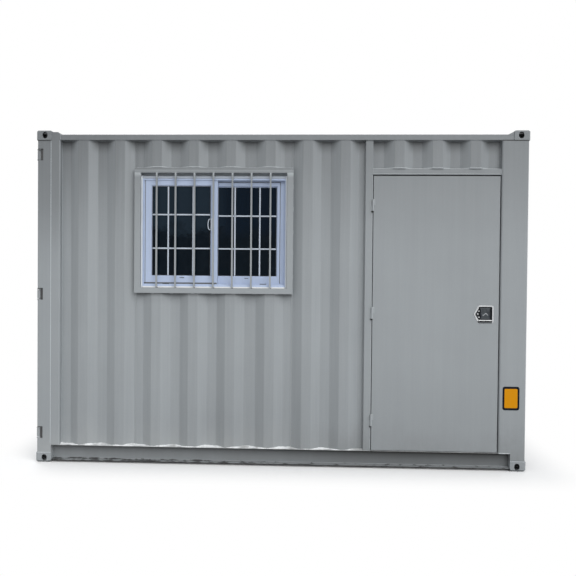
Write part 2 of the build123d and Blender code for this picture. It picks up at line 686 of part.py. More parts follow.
# ---------------------------------------------------------------- window guard and subframe
guard_face = front_face + GUARD_SETBACK
with BuildPart() as window_guard_frame:
    with BuildSketch(front_plane(guard_face)):
        with Locations((middle((guard_left, guard_right)), middle((guard_bottom, head_top)))):
            Rectangle(guard_right - guard_left, head_top - guard_bottom)
        with Locations((middle(opening_x), middle(opening_z))):
            Rectangle(span(opening_x), span(opening_z), mode=Mode.SUBTRACT)
    extrude(amount=-GUARD_PLATE)
    chamfer(window_guard_frame.faces().sort_by(Axis.Y)[0].edges(), GUARD_EASE)
save(window_guard_frame, "window_guard_frame")

guard_rods = int((span(opening_x) - GUARD_ROD_START) // GUARD_ROD_PITCH) + 1
with BuildPart() as window_guard_bars:
    with BuildSketch(Plane((opening_x[0] + GUARD_ROD_START, guard_face + GUARD_ROD / 2, opening_z[0]))):
        for index in range(guard_rods):
            with Locations((index * GUARD_ROD_PITCH, 0)):
                Rectangle(GUARD_ROD, GUARD_ROD)
    extrude(amount=span(opening_z))
save(window_guard_bars, "window_guard_bars")

subframe_front = guard_face + GUARD_PLATE
window_z = (opening_z[0], opening_z[1] - WINDOW_HEAD_GAP)
with BuildPart() as window_subframe:
    with BuildSketch(front_plane(subframe_front)):
        ring(subframe_x, subframe_z, SUBFRAME_BAR)
    extrude(amount=subframe_front - frame_back)
    hollow_back = frame_back - SUBFRAME_PLATE
    with BuildSketch(front_plane(hollow_back)):
        hollow_x = (subframe_x[0] + SUBFRAME_PLATE, subframe_x[1] - SUBFRAME_PLATE)
        hollow_z = (subframe_z[0] + SUBFRAME_PLATE, subframe_z[1] - SUBFRAME_PLATE)
        ring(hollow_x, hollow_z, SUBFRAME_BAR - 2 * SUBFRAME_PLATE)
    extrude(amount=hollow_back - subframe_front, mode=Mode.SUBTRACT)
    block(opening_x, (frame_back - PACKING_DEPTH, frame_back), (window_z[1], opening_z[1]))
save(window_subframe, "window_subframe")


# ---------------------------------------------------------------- sliding window
window_front = front_face + WINDOW_SETBACK
window_x = (opening_x[0] + WINDOW_FIT, opening_x[1] - WINDOW_FIT)
track_middle = window_front + WINDOW_DEPTH / 2
with BuildPart() as window_outer_frame:
    with BuildSketch(front_plane(window_front)):
        ring(window_x, window_z, WINDOW_RIM)
    extrude(amount=-WINDOW_DEPTH)
    for fin_back in (track_middle + WINDOW_WEB / 2, window_front + WINDOW_DEPTH):
        with BuildSketch(front_plane(fin_back)):
            ring(window_x, window_z, WINDOW_FIN)
        extrude(amount=WINDOW_WEB)
    lip_y = (window_front, window_front + WINDOW_WEB)
    block(window_x, lip_y, (window_z[0], window_z[0] + WINDOW_LIP))
    block(window_x, lip_y, (window_z[1] - WINDOW_LIP, window_z[1]))
save(window_outer_frame, "window_outer_frame")

sash_edge = WINDOW_RIM + SASH_FIT
sash_z = (window_z[0] + WINDOW_RIM, window_z[1] - sash_edge)
sash_pane_z = (sash_z[0] + SASH_RAIL, sash_z[1] - SASH_HEAD_RAIL)
left_sash_x = (window_x[0] + sash_edge, middle(window_x) + SASH_MEETING / 2)
right_sash_x = (middle(window_x) - SASH_MEETING / 2, window_x[1] - sash_edge)
left_pane_x = (left_sash_x[0] + SASH_STILE, left_sash_x[1] - SASH_MEETING)
right_pane_x = (right_sash_x[0] + SASH_MEETING, right_sash_x[1] - SASH_STILE)
left_sash_y = track_middle - WINDOW_WEB / 2 - SASH_FIT - SASH_DEPTH
right_sash_y = track_middle + WINDOW_WEB / 2 + SASH_FIT


def sash(x_limits, pane_x, y):
    """A sliding sash, its front at y, with glazing beads that slope down to the pane."""
    with BuildPart() as frame:
        block(x_limits, (y, y + SASH_DEPTH), sash_z)
        block(pane_x, (y - 1, y + SASH_DEPTH + 1), sash_pane_z, mode=Mode.SUBTRACT)
        chamfer(frame.faces().sort_by(Axis.Y)[0].inner_wires()[0].edges(), SASH_BEVEL)
    return frame


save(sash(left_sash_x, left_pane_x, left_sash_y), "window_left_sash")
save(sash(right_sash_x, right_pane_x, right_sash_y), "window_right_sash")

with BuildPart() as window_panes:
    for pane_x, sash_y in ((left_pane_x, left_sash_y), (right_pane_x, right_sash_y)):
        pane_y = sash_y + (SASH_DEPTH - PANE) / 2
        block(pane_x, (pane_y, pane_y + PANE), sash_pane_z)
save(window_panes, "window_panes")


# ---------------------------------------------------------------- entrance frame
frame_tube_y = (door_face, frame_back)
with BuildPart() as entrance_jamb:
    with BuildSketch(Plane.XY.offset(SILL_Z)):
        jamb_centre = (middle((jamb_left, jamb_right)), middle(frame_tube_y))
        tube_section(jamb_centre, JAMB_WIDTH, span(frame_tube_y), FRAME_TUBE_PLATE, FRAME_TUBE_CORNER)
    extrude(amount=span(wall_z))
save(entrance_jamb, "entrance_jamb")

with BuildPart() as entrance_head:
    with BuildSketch(Plane((jamb_right, 0, 0), x_dir=(0, 1, 0), z_dir=(1, 0, 0))):
        head_centre = (middle(frame_tube_y), middle((head_bottom, head_top)))
        tube_section(head_centre, span(frame_tube_y), HEAD_HEIGHT, FRAME_TUBE_PLATE, FRAME_TUBE_CORNER)
    extrude(amount=DOORWAY_WIDTH)
save(entrance_head, "entrance_head")


def around_doorway(y_limits):
    """Two uprights, a head strip and a threshold strip round the doorway, as four pieces."""
    upright_z = (SILL_Z + STOP_WIDTH, head_bottom - STOP_WIDTH)
    whole_x = (jamb_right, end_post_inner)
    block((jamb_right, doorway_x[0]), y_limits, upright_z)
    block((doorway_x[1], end_post_inner), y_limits, upright_z)
    block(whole_x, y_limits, (upright_z[1] + JOINT_GAP, head_bottom))
    block(whole_x, y_limits, (SILL_Z, upright_z[0] - JOINT_GAP))


with BuildPart() as entrance_door_stop:
    around_doorway((frame_back - STOP_DEPTH, frame_back))
save(entrance_door_stop, "entrance_door_stop")

with BuildPart() as entrance_door_seal:
    around_doorway((seal_front, seal_front + SEAL_DEPTH))
save(entrance_door_seal, "entrance_door_seal")


# ---------------------------------------------------------------- entrance door
latch_x = leaf_right - LATCH_FROM_EDGE


def latch_plane(depth):
    """A plane behind the leaf's face, or in front where depth is negative, centred on the latch."""
    return Plane(origin=(latch_x, door_face + depth, LATCH_Z), x_dir=(1, 0, 0), z_dir=(0, -1, 0))


def latch_outline(depth, inset):
    """The latch's outline, squared on the lock side and drawn to a blunt point on the hinge side."""
    half_width = LATCH_WIDTH / 2 - inset
    half_height = LATCH_HEIGHT / 2 - inset
    shoulder = LATCH_POINT - half_width
    with BuildSketch(latch_plane(depth)) as outline:
        with BuildLine():
            Polyline(
                (-half_width, 0),
                (shoulder, half_height),
                (half_width, half_height),
                (half_width, -half_height),
                (shoulder, -half_height),
                close=True,
            )
        make_face()
        fillet(outline.vertices(), LATCH_CORNER - inset / 2)
    return outline.sketch


with BuildPart() as entrance_door_leaf:
    block((leaf_left, leaf_right), (door_face, leaf_back - LEAF_SKIN), (leaf_bottom, leaf_top))
    fillet(entrance_door_leaf.faces().sort_by(Axis.Y)[0].edges().filter_by(Axis.Z), LEAF_FOLD)
    offset(amount=-LEAF_SKIN, openings=entrance_door_leaf.faces().sort_by(Axis.Y)[-1])
    extrude(latch_outline(-1, LATCH_RIM - LATCH_SHELL), amount=-(LEAF_SKIN + 2), mode=Mode.SUBTRACT)
save(entrance_door_leaf, "entrance_door_leaf")

with BuildPart() as entrance_door_inner_panel:
    block((leaf_left, leaf_right), (leaf_back - LEAF_SKIN, leaf_back), (leaf_bottom, leaf_top))
save(entrance_door_inner_panel, "entrance_door_inner_panel")

hinge_x = jamb_right + LEAF_GAP_HINGE / 2
hinge_y = front_face + HINGE_RADIUS
hinge_low = leaf_bottom + HINGE_FROM_BOTTOM
hinge_high = leaf_top - HINGE_FROM_TOP
hinge_heights = (hinge_low, (hinge_low + hinge_high) / 2, hinge_high)
pin_length = HINGE_HEIGHT / 2 - HINGE_CAP


def hinge_knuckle(z_limits, side):
    """A round knuckle on the hinge axis with a flat wing lying on the face beside it."""
    with BuildSketch(Plane((hinge_x, hinge_y, z_limits[0]))) as section:
        round_section(HINGE_RADIUS)
        with Locations((side * HINGE_WING / 2, door_face - hinge_y - HINGE_WING_PLATE / 2)):
            Rectangle(HINGE_WING, HINGE_WING_PLATE)
    extrude(section.sketch, amount=span(z_limits))


with BuildPart() as entrance_hinge_frame_halves:
    for hinge_z in hinge_heights:
        hinge_knuckle((hinge_z - HINGE_HEIGHT / 2, hinge_z - HINGE_GAP / 2), -1)
        with BuildSketch(Plane((hinge_x, hinge_y, hinge_z - HINGE_GAP / 2))):
            round_section(HINGE_PIN)
        extrude(amount=pin_length)
save(entrance_hinge_frame_halves, "entrance_hinge_frame_halves")

with BuildPart() as entrance_hinge_door_halves:
    for hinge_z in hinge_heights:
        hinge_knuckle((hinge_z + HINGE_GAP / 2, hinge_z + HINGE_HEIGHT / 2), 1)
        with BuildSketch(Plane((hinge_x, hinge_y, hinge_z))):
            round_section(HINGE_PIN + HINGE_PIN_FIT)
        extrude(amount=pin_length + HINGE_GAP, mode=Mode.SUBTRACT)
save(entrance_hinge_door_halves, "entrance_hinge_door_halves")


# ---------------------------------------------------------------- paddle latch
paddle_x = latch_x + PADDLE_SHIFT
paddle_y = door_face + PADDLE_PIN_SETBACK
paddle_z = LATCH_Z + PADDLE_PIN_RISE
cheek_reach = PADDLE_WIDTH / 2 + CHEEK_GAP + CHEEK


def pin_plane(half_length):
    """A plane across the paddle's pin, at the pin's left end."""
    return Plane((paddle_x - half_length, paddle_y, paddle_z), x_dir=(0, 1, 0), z_dir=(1, 0, 0))


with BuildPart() as latch_dish:
    extrude(latch_outline(-LATCH_RIM_PLATE, 0), amount=-LATCH_RIM_PLATE)
    extrude(latch_outline(0, LATCH_RIM), amount=-LATCH_DEPTH)
    dish_depth = LATCH_RIM_PLATE + LATCH_DEPTH - LATCH_SHELL
    extrude(latch_outline(-LATCH_RIM_PLATE, LATCH_RIM + LATCH_SHELL), amount=-dish_depth, mode=Mode.SUBTRACT)
    cheek_y = (paddle_y - PADDLE_BARREL, door_face + LATCH_DEPTH)
    cheek_z = (paddle_z - PADDLE_BARREL, paddle_z + PADDLE_BARREL)
    block((paddle_x - cheek_reach, paddle_x - cheek_reach + CHEEK), cheek_y, cheek_z)
    block((paddle_x + cheek_reach - CHEEK, paddle_x + cheek_reach), cheek_y, cheek_z)
    with BuildSketch(pin_plane(cheek_reach)):
        Circle(PADDLE_PIN)
    extrude(amount=2 * cheek_reach)
save(latch_dish, "latch_dish")

with BuildPart() as latch_paddle:
    with BuildSketch(pin_plane(PADDLE_WIDTH / 2)):
        Circle(PADDLE_BARREL)
        with Locations((-PADDLE_BARREL, 0)):
            Rectangle(PADDLE_PLATE, PADDLE_HEIGHT, align=(Align.MIN, Align.MAX))
        with Locations((-PADDLE_BARREL, -PADDLE_HEIGHT)):
            Rectangle(PADDLE_LIP, PADDLE_PLATE, align=(Align.MIN, Align.MIN))
        Circle(PADDLE_PIN + PADDLE_FIT, mode=Mode.SUBTRACT)
    extrude(amount=PADDLE_WIDTH)
save(latch_paddle, "latch_paddle")

with BuildPart() as latch_inner_cover:
    with BuildSketch(Plane(origin=(latch_x, leaf_back, LATCH_Z), x_dir=(-1, 0, 0), z_dir=(0, 1, 0))):
        RectangleRounded(*COVER_SIZE, LATCH_CORNER)
    extrude(amount=COVER_PLATE)
    with BuildSketch(Plane(origin=(latch_x, leaf_back, LATCH_Z), x_dir=(-1, 0, 0), z_dir=(0, 1, 0))):
        round_section(KNOB_RADIUS)
    extrude(amount=COVER_PLATE + KNOB_HEIGHT)
    chamfer(latch_inner_cover.faces().sort_by(Axis.Y)[-1].edges(), COVER_PLATE)
save(latch_inner_cover, "latch_inner_cover")


# ---------------------------------------------------------------- cargo door leaves
cargo_sheet_half = span(cargo_z) / 2 - CARGO_FRAME
swage_pitch = 2 * cargo_sheet_half / CARGO_SWAGES
cargo_sheet_face = cargo_face + CARGO_PLATE


def swage_turns():
    """Turning points of a leaf's sheet, along its height: flats with evenly spaced swages between."""
    depth = CARGO_LEAF_DEPTH - 4 * CARGO_PLATE
    turns = [(-cargo_sheet_half, 0)]
    for index in range(CARGO_SWAGES):
        centre = -cargo_sheet_half + (index + 0.5) * swage_pitch
        for step, share in ((-foot_half, 0), (-crest_half, 1), (crest_half, 1), (foot_half, 0)):
            turns.append((centre + step, share * depth))
    turns.append((cargo_sheet_half, 0))
    return turns


def cargo_leaf(y_limits):
    """A cargo door leaf: a channel frame, open to the inside, round a swaged sheet."""
    width = span(y_limits)
    height = span(cargo_z)
    outer = Plane(origin=(cargo_face, middle(y_limits), middle(cargo_z)), x_dir=(0, -1, 0), z_dir=(-1, 0, 0))
    reveal = 2 * CARGO_FRAME
    plate = 2 * CARGO_PLATE
    with BuildPart() as leaf:
        with BuildSketch(outer):
            Rectangle(width, height)
            Rectangle(width - reveal, height - reveal, mode=Mode.SUBTRACT)
        extrude(amount=-CARGO_LEAF_DEPTH)
        with BuildSketch(outer.offset(-CARGO_LEAF_DEPTH)):
            Rectangle(width - plate, height - plate)
            Rectangle(width - reveal + plate, height - reveal + plate, mode=Mode.SUBTRACT)
        extrude(amount=CARGO_LEAF_DEPTH - CARGO_PLATE, mode=Mode.SUBTRACT)
        sheet_start = (cargo_sheet_face, y_limits[0] + CARGO_FRAME, middle(cargo_z))
        with BuildSketch(Plane(origin=sheet_start, x_dir=(0, 0, 1), z_dir=(0, 1, 0))):
            with BuildLine():
                Polyline(*swage_turns())
                offset(amount=WALL_SHEET, side=Side.LEFT, kind=Kind.INTERSECTION)
            make_face()
        extrude(amount=width - reveal)
    return leaf


front_leaf_y = (-cargo_edge, -CARGO_GAP / 2)
back_leaf_y = (CARGO_GAP / 2, cargo_edge)
save(cargo_leaf(front_leaf_y), "cargo_door_front_leaf")
save(cargo_leaf(back_leaf_y), "cargo_door_back_leaf")

with BuildPart() as cargo_door_gaskets:
    seal = CARGO_GAP - GASKET_FIT
    gasket_z = (cargo_z[0] - seal, cargo_z[1] + seal)
    gasket_x = (cargo_face + GASKET_SETBACK, cargo_face + GASKET_SETBACK + GASKET_DEPTH)
    block(gasket_x, (-cargo_edge - seal, front_leaf_y[1] + CARGO_GAP / 2 - GASKET_FIT), gasket_z)
    block((gasket_x[0] - 1, gasket_x[1] + 1), front_leaf_y, cargo_z, mode=Mode.SUBTRACT)
    mirror(about=Plane.XZ)
save(cargo_door_gaskets, "cargo_door_gaskets")


# ---------------------------------------------------------------- cargo door hinges
blade_face = cargo_face - BLADE_PLATE
barrel_place = (left_end + CARGO_BARREL, front_face + BARREL_INSET + CARGO_BARREL)
crank_y = -cargo_edge - CARGO_GAP
with BuildPart() as cargo_door_hinges:
    for hinge_z in cargo_hinge_heights:
        with BuildSketch(Plane.XY.offset(hinge_z - BLADE_HEIGHT / 2)):
            with BuildLine():
                Polyline(
                    (left_end, barrel_place[1]),
                    (left_end, crank_y),
                    (blade_face, crank_y + BLADE_CRANK),
                    (blade_face, crank_y + BLADE_CRANK + BLADE_LAP),
                )
                offset(amount=BLADE_PLATE, side=Side.RIGHT, kind=Kind.INTERSECTION)
            make_face()
            with Locations(barrel_place):
                round_section(CARGO_BARREL)
        extrude(amount=BLADE_HEIGHT)
        pin_reach = NOTCH_HEIGHT - 2 * LUG_PLATE
        with BuildSketch(Plane((*barrel_place, hinge_z - pin_reach / 2))):
            round_section(CARGO_PIN)
        extrude(amount=pin_reach)
    mirror(about=Plane.XZ)
save(cargo_door_hinges, "cargo_door_hinges")


# ---------------------------------------------------------------- lock rods, keepers and guides
rod_x = cargo_face - ROD_STANDOFF
keeper_low_z = (SILL_Z - KEEPER_INSET - KEEPER_HEIGHT, SILL_Z - KEEPER_INSET)
keeper_high_z = (header_top - KEEPER_INSET - KEEPER_HEIGHT, header_top - KEEPER_INSET)
rod_low = keeper_low_z[0] + KEEPER_PLATE + ROD_FIT
rod_high = keeper_high_z[1] - KEEPER_PLATE - ROD_FIT
cam_x = (rod_x - ROD_RADIUS / 2, cargo_face - ROD_FIT)
rods = (ROD_INNER, ROD_OUTER)

with BuildPart() as cargo_door_lock_rods:
    for rod_y in rods:
        with BuildSketch(Plane((rod_x, rod_y, rod_low))):
            round_section(ROD_RADIUS)
        extrude(amount=rod_high - rod_low)
        for cam_z in ((rod_low, rod_low + CAM_HEIGHT), (rod_high - CAM_HEIGHT, rod_high)):
            block(cam_x, across(rod_y, CAM_WIDTH), cam_z)
    mirror(about=Plane.XZ)
save(cargo_door_lock_rods, "cargo_door_lock_rods")

with BuildPart() as cargo_door_keepers:
    keeper_x = (cargo_face - KEEPER_DEPTH, cargo_face)
    for rod_y in rods:
        whole_y = across(rod_y, KEEPER_WIDTH)
        inner_y = across(rod_y, KEEPER_WIDTH - 2 * KEEPER_PLATE)
        block(keeper_x, whole_y, keeper_low_z)
        block(keeper_x, whole_y, keeper_high_z)
        block(keeper_x, inner_y, (keeper_low_z[0] + KEEPER_PLATE, keeper_low_z[1] + 1), mode=Mode.SUBTRACT)
        block(keeper_x, inner_y, (keeper_high_z[0] - 1, keeper_high_z[1] - KEEPER_PLATE), mode=Mode.SUBTRACT)
    mirror(about=Plane.XZ)
save(cargo_door_keepers, "cargo_door_keepers")

guide_heights = (middle(cargo_z) - swage_pitch, middle(cargo_z) + swage_pitch)
with BuildPart() as cargo_door_rod_guides:
    strap_inner = ROD_RADIUS + ROD_FIT
    strap_outer = strap_inner + GUIDE_STRAP
    strap_x = rod_x - strap_outer
    for guide_z in guide_heights:
        with BuildSketch(Plane.XY.offset(guide_z - GUIDE_HEIGHT / 2)) as guides:
            for rod_y in rods:
                with Locations((cargo_sheet_face, rod_y)):
                    Rectangle(GUIDE_STRAP, GUIDE_BASE, align=(Align.MAX, Align.CENTER))
                    Rectangle(cargo_sheet_face - strap_x, 2 * strap_outer, align=(Align.MAX, Align.CENTER))
            chamfer(guides.vertices().group_by(Axis.X)[0], strap_inner / 2)
            for rod_y in rods:
                with Locations((cargo_sheet_face, rod_y)):
                    reach = cargo_sheet_face - rod_x + strap_inner
                    Rectangle(reach, 2 * strap_inner, align=(Align.MAX, Align.CENTER), mode=Mode.SUBTRACT)
        extrude(amount=GUIDE_HEIGHT)
    mirror(about=Plane.XZ)
save(cargo_door_rod_guides, "cargo_door_rod_guides")


# ---------------------------------------------------------------- cargo door handles
lever_x = (left_end, left_end + HANDLE_BAR[0])
hub_x = (left_end, rod_x - ROD_RADIUS)
handle_middle = middle(cargo_z) - HANDLE_DROP
handle_heights = (handle_middle + HANDLE_STEP / 2, handle_middle - HANDLE_STEP / 2)
handles = ((ROD_INNER, 1, handle_heights[0]), (ROD_OUTER, -1, handle_heights[1]))

with BuildPart() as cargo_door_handles:
    for rod_y, direction, handle_z in handles:
        block(hub_x, across(rod_y, HUB_SIZE[0]), across(handle_z, HUB_SIZE[1]))
        lever_y = across(rod_y + direction * HANDLE_LENGTH / 2, HANDLE_LENGTH)
        block(lever_x, lever_y, across(handle_z, HANDLE_BAR[1]))
    mirror(about=Plane.XZ)
save(cargo_door_handles, "cargo_door_handles")

with BuildPart() as cargo_door_handle_catches:
    for rod_y, direction, handle_z in handles:
        catch_y = rod_y + direction * CATCH_FROM_ROD
        block((lever_x[1], cargo_sheet_face), across(catch_y, CATCH_WIDTH), across(handle_z, HANDLE_BAR[1]))
        base_x = (cargo_sheet_face - CATCH_BASE[2], cargo_sheet_face)
        block(base_x, across(catch_y, CATCH_BASE[0]), across(handle_z, CATCH_BASE[1]))
    mirror(about=Plane.XZ)
save(cargo_door_handle_catches, "cargo_door_handle_catches")
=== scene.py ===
"""Light, camera, materials and small pieces of the shipping container cabin, in the part's frame."""

import math
import random

import bmesh
import bpy
from mathutils import Matrix, Vector


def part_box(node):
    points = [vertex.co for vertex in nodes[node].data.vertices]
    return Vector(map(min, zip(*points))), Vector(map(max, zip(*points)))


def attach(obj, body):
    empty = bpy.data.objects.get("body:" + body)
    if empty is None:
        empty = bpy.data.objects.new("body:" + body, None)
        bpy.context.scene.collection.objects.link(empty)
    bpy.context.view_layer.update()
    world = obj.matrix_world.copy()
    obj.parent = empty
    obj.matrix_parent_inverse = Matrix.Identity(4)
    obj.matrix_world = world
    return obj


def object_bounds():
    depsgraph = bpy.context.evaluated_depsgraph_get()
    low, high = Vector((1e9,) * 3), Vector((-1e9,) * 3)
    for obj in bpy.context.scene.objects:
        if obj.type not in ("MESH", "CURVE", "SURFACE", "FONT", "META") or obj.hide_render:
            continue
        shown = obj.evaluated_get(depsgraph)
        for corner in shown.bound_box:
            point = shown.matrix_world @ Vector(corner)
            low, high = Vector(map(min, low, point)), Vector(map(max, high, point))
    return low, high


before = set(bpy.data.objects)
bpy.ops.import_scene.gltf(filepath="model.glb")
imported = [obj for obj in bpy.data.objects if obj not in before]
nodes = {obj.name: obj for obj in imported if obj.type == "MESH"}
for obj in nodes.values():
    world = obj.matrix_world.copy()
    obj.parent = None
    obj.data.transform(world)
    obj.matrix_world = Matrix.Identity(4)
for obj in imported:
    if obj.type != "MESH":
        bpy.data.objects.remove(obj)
cad_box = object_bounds()
scene = bpy.context.scene
scene.view_settings.view_transform = "Standard"


def new_object(name, data):
    made = bpy.data.objects.new(name, data)
    scene.collection.objects.link(made)
    return made


# ---------- camera, light and stage
def set_camera():
    """At eye height, a little right of the middle, turned slightly left and down."""
    turn = Matrix.Identity(4)
    for degrees, axis in ((2.19, "Z"), (90 - 0.86, "X"), (0.51, "Z")):
        turn = turn @ Matrix.Rotation(math.radians(degrees), 4, axis)
    data = bpy.data.cameras.new("camera")
    data.lens = 37.54
    data.sensor_width = 36
    camera = new_object("camera", data)
    camera.matrix_world = Matrix.Translation((0.241, -5.548, 1.401)) @ turn
    scene.camera = camera


def set_lamp(name, place, strength, kind="SUN", **settings):
    """A lamp aimed at the cabin's middle."""
    data = bpy.data.lights.new(name, kind)
    data.energy = strength
    for setting, value in settings.items():
        setattr(data, setting, value)
    lamp = new_object(name, data)
    aim = (Vector((0, 0, 1.2)) - Vector(place)).to_track_quat("-Z", "Y")
    lamp.matrix_world = Matrix.Translation(place) @ aim.to_matrix().to_4x4()


class Shader:
    """A node tree with a short call for each node. A socket takes a number, a colour or a node's output."""

    def __init__(self, owner):
        self.tree = owner.node_tree
        self.owner = owner
        self.place = None
        self.split = None

    def node(self, kind, output=0, **sockets):
        made = self.tree.nodes.new("ShaderNode" + kind)
        for name, value in sockets.items():
            self.put(made.inputs[name.replace("_", " ")], value)
        return made.outputs[output]

    def put(self, socket, value):
        if isinstance(value, bpy.types.NodeSocket):
            self.tree.links.new(value, socket)
        else:
            socket.default_value = value

    def filled(self, kind, *values):
        """A new node, its first sockets filled in order."""
        made = self.tree.nodes.new("ShaderNode" + kind)
        for socket, value in zip(made.inputs, values):
            self.put(socket, value)
        return made

    def math(self, operation, *values):
        made = self.filled("Math", *values)
        made.operation = operation
        return made.outputs[0]

    def size(self, value):
        return self.math("ABSOLUTE", value)

    def add(self, *values):
        total = values[0]
        for value in values[1:]:
            total = self.math("ADD", total, value)
        return total

    def times(self, *values):
        total = values[0]
        for value in values[1:]:
            total = self.math("MULTIPLY", total, value)
        return total

    def ramp(self, value, low, high, to_low=0.0, to_high=1.0):
        """Goes smoothly from to_low to to_high as value goes from low to high."""
        made = self.filled("MapRange", value, low, high, to_low, to_high)
        made.interpolation_type = "SMOOTHSTEP"
        return made.outputs[0]

    def changed(self, value, mask, share):
        """The value, changed by a share of itself where the mask is 1."""
        return self.times(value, self.add(1.0, self.times(mask, share)))

    def mix(self, factor, first, second, blend="MIX"):
        made = self.tree.nodes.new("ShaderNodeMix")
        made.data_type = "RGBA"
        made.blend_type = blend
        for index, value in ((0, factor), (6, first), (7, second)):
            self.put(made.inputs[index], value)
        return made.outputs[2]

    def object_place(self):
        if self.place is None:
            self.place = self.node("TexCoord", 3)
        return self.place

    def part(self, vector, axis):
        return self.filled("SeparateXYZ", vector).outputs[axis]

    def axes(self):
        if self.split is None:
            self.split = tuple(self.part(self.object_place(), axis) for axis in range(3))
        return self.split

    def facing(self, axis):
        """How far the surface faces along an axis, from -1 to 1."""
        return self.part(self.node("NewGeometry", 1), axis)

    def noise(self, scale, detail=2.0, rough=0.5, stretch=None, shift=(0, 0, 0)):
        place = self.object_place()
        if stretch is not None or shift != (0, 0, 0):
            place = self.node("Mapping", Vector=place, Scale=stretch or (1, 1, 1), Location=shift)
        return self.node("TexNoise", Vector=place, Scale=scale, Detail=detail, Roughness=rough)

    def bump(self, height, distance, normal=None):
        made = self.tree.nodes.new("ShaderNodeBump")
        self.put(made.inputs["Height"], height)
        made.inputs["Distance"].default_value = distance
        made.inputs["Strength"].default_value = 1.0
        if normal is not None:
            self.put(made.inputs["Normal"], normal)
        return made.outputs[0]

    def surface(self, **sockets):
        """Fills in the material's surface and returns the material."""
        for name, value in sockets.items():
            self.put(self.tree.nodes["Principled BSDF"].inputs[name.replace("_", " ")], value)
        return self.owner


def new_material(name):
    material = bpy.data.materials.new(name)
    material.use_nodes = True
    return Shader(material)


def shown_behind(shader):
    """1 where the eye, a mirror or a pane looks straight at the background."""
    path = shader.tree.nodes.new("ShaderNodeLightPath")
    seen = shader.math("MAXIMUM", path.outputs["Is Camera Ray"], path.outputs["Is Glossy Ray"])
    return shader.math("MAXIMUM", seen, path.outputs["Is Transmission Ray"])


def set_world(level):
    """A pale sky, brighter overhead, that shows as plain white."""
    world = bpy.data.worlds.new("studio")
    world.use_nodes = True
    scene.world = world
    shader = Shader(world)
    shader.tree.nodes.clear()
    seen = shown_behind(shader)
    height = shader.part(shader.node("TexCoord", 0), 2)
    sky = shader.ramp(height, -0.1, 0.9, 0.62 * level, 1.35 * level)
    plain = shader.node("Background", Color=(0.97, 0.985, 1.0, 1), Strength=sky)
    white = shader.node("Background", Color=(1, 1, 1, 1), Strength=1.0)
    shader.filled("OutputWorld", shader.filled("MixShader", seen, plain, white).outputs[0])


def set_floor(reach=40, fade=0.45):
    """A pale floor that fades to white away from the cabin's shadow."""
    mesh = bpy.data.meshes.new("studio_floor")
    corners = [(-reach, -reach, 0), (reach, -reach, 0), (reach, reach, 0), (-reach, reach, 0)]
    mesh.from_pydata(corners, [], [(0, 1, 2, 3)])
    floor = new_object("studio_floor", mesh)
    shader = new_material("studio_floor")
    past = []
    for axis in (0, 1):
        beside = shader.math("SUBTRACT", shader.size(shader.axes()[axis]), cad_box[1][axis])
        past.append(shader.math("MAXIMUM", beside, 0.0))
    away = shader.math("SQRT", shader.add(*(shader.times(length, length) for length in past)))
    faded = shader.times(shader.ramp(away, 0.0, fade), shown_behind(shader))
    white = shader.node("Emission", Color=(1, 1, 1, 1), Strength=1.0)
    tone = shader.mix(shown_behind(shader), (0.45, 0.45, 0.45, 1), (0.88, 0.88, 0.88, 1))
    shader.surface(Base_Color=tone, Roughness=0.9, Specular_IOR_Level=0.1)
    mixed = shader.filled("MixShader", faded, shader.tree.nodes["Principled BSDF"].outputs[0], white)
    shader.put(shader.tree.nodes["Material Output"].inputs[0], mixed.outputs[0])
    mesh.materials.append(shader.owner)


set_camera()
set_world(0.58)
set_floor()
set_lamp("key", (4.6, -8.0, 8.0), 2.1, angle=math.radians(60))
set_lamp("rim", (-6.5, 6.5, 7.5), 330, "AREA", size=5.0)


# ---------- paint
PAINT = (0.288, 0.309, 0.323)
GRIME = (0.112, 0.112, 0.108)
PALE_MUD = (0.37, 0.38, 0.38)
CHIPPED = (0.03, 0.029, 0.029)
DUST = (0.42, 0.43, 0.43)
PALE_DUST = (0.95, 0.97, 0.98)
RUST = (0.115, 0.045, 0.02)
CASTING_SIDE, CASTING_HEIGHT = 0.115, 0.072

roof_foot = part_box("roof_panel")[0][2]
wall_face, wall_top = -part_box("front_wall_right")[0][1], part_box("front_wall_right")[1][2]


def solid(colour, factor=1.0):
    """An opaque colour, made darker or lighter by a factor."""
    return tuple(part * factor for part in colour) + (1,)


def weathered_and_shaded(s, cloud, tone, streak):
    """The paint's shade: rain streaks, painted shade near the roof, darker low down, painted highlight on
    slopes.
    """
    x, y, z = s.axes()
    runs = s.noise(1.0, 4, 0.6, stretch=(17, 17, 0.55))
    fine_runs = s.noise(1.0, 3, 0.6, stretch=(75, 75, 1.6), shift=(3, 5, 7))
    speck = s.noise(140, 2, 0.6)
    # Painted shade: darker towards the roof, more to the left, half as much on the slopes.
    upper_shade = s.times(s.ramp(z, 1.5, 2.62), s.ramp(x, -1.9, 0.3, 0.5, 0.34))
    # The corrugations' slopes, made paler as a painted highlight.
    slope = s.ramp(s.size(s.facing(0)), 0.3, 0.6)
    upper_shade = s.times(upper_shade, s.ramp(slope, 0.0, 1.0, 1.0, 0.5))
    # Darker low down, more so to the right.
    foot = s.times(s.ramp(z, 1.0, 0.1), s.ramp(x, -1.6, -0.2, 0.0, 0.115))
    return s.add(
        s.ramp(cloud, 0.3, 0.7, -0.035, 0.035),
        s.ramp(runs, 0.3, 0.7, -0.032 * streak, 0.032 * streak),
        s.ramp(fine_runs, 0.3, 0.7, -0.014 * streak, 0.014 * streak),
        s.ramp(speck, 0.3, 0.7, -0.012, 0.012),
        s.times(upper_shade, -1.0),
        s.times(foot, -1.0),
        s.times(slope, 0.055),
        tone,
    )


def shade_under_rail(s, shade):
    """Painted shade in the corrugation troughs just under the top rail."""
    y, z = s.axes()[1:]
    trough = s.ramp(s.size(y), wall_face - 0.002, wall_face - 0.034)
    return s.changed(shade, s.times(s.ramp(z, wall_top - 0.11, wall_top), trough), -0.49)


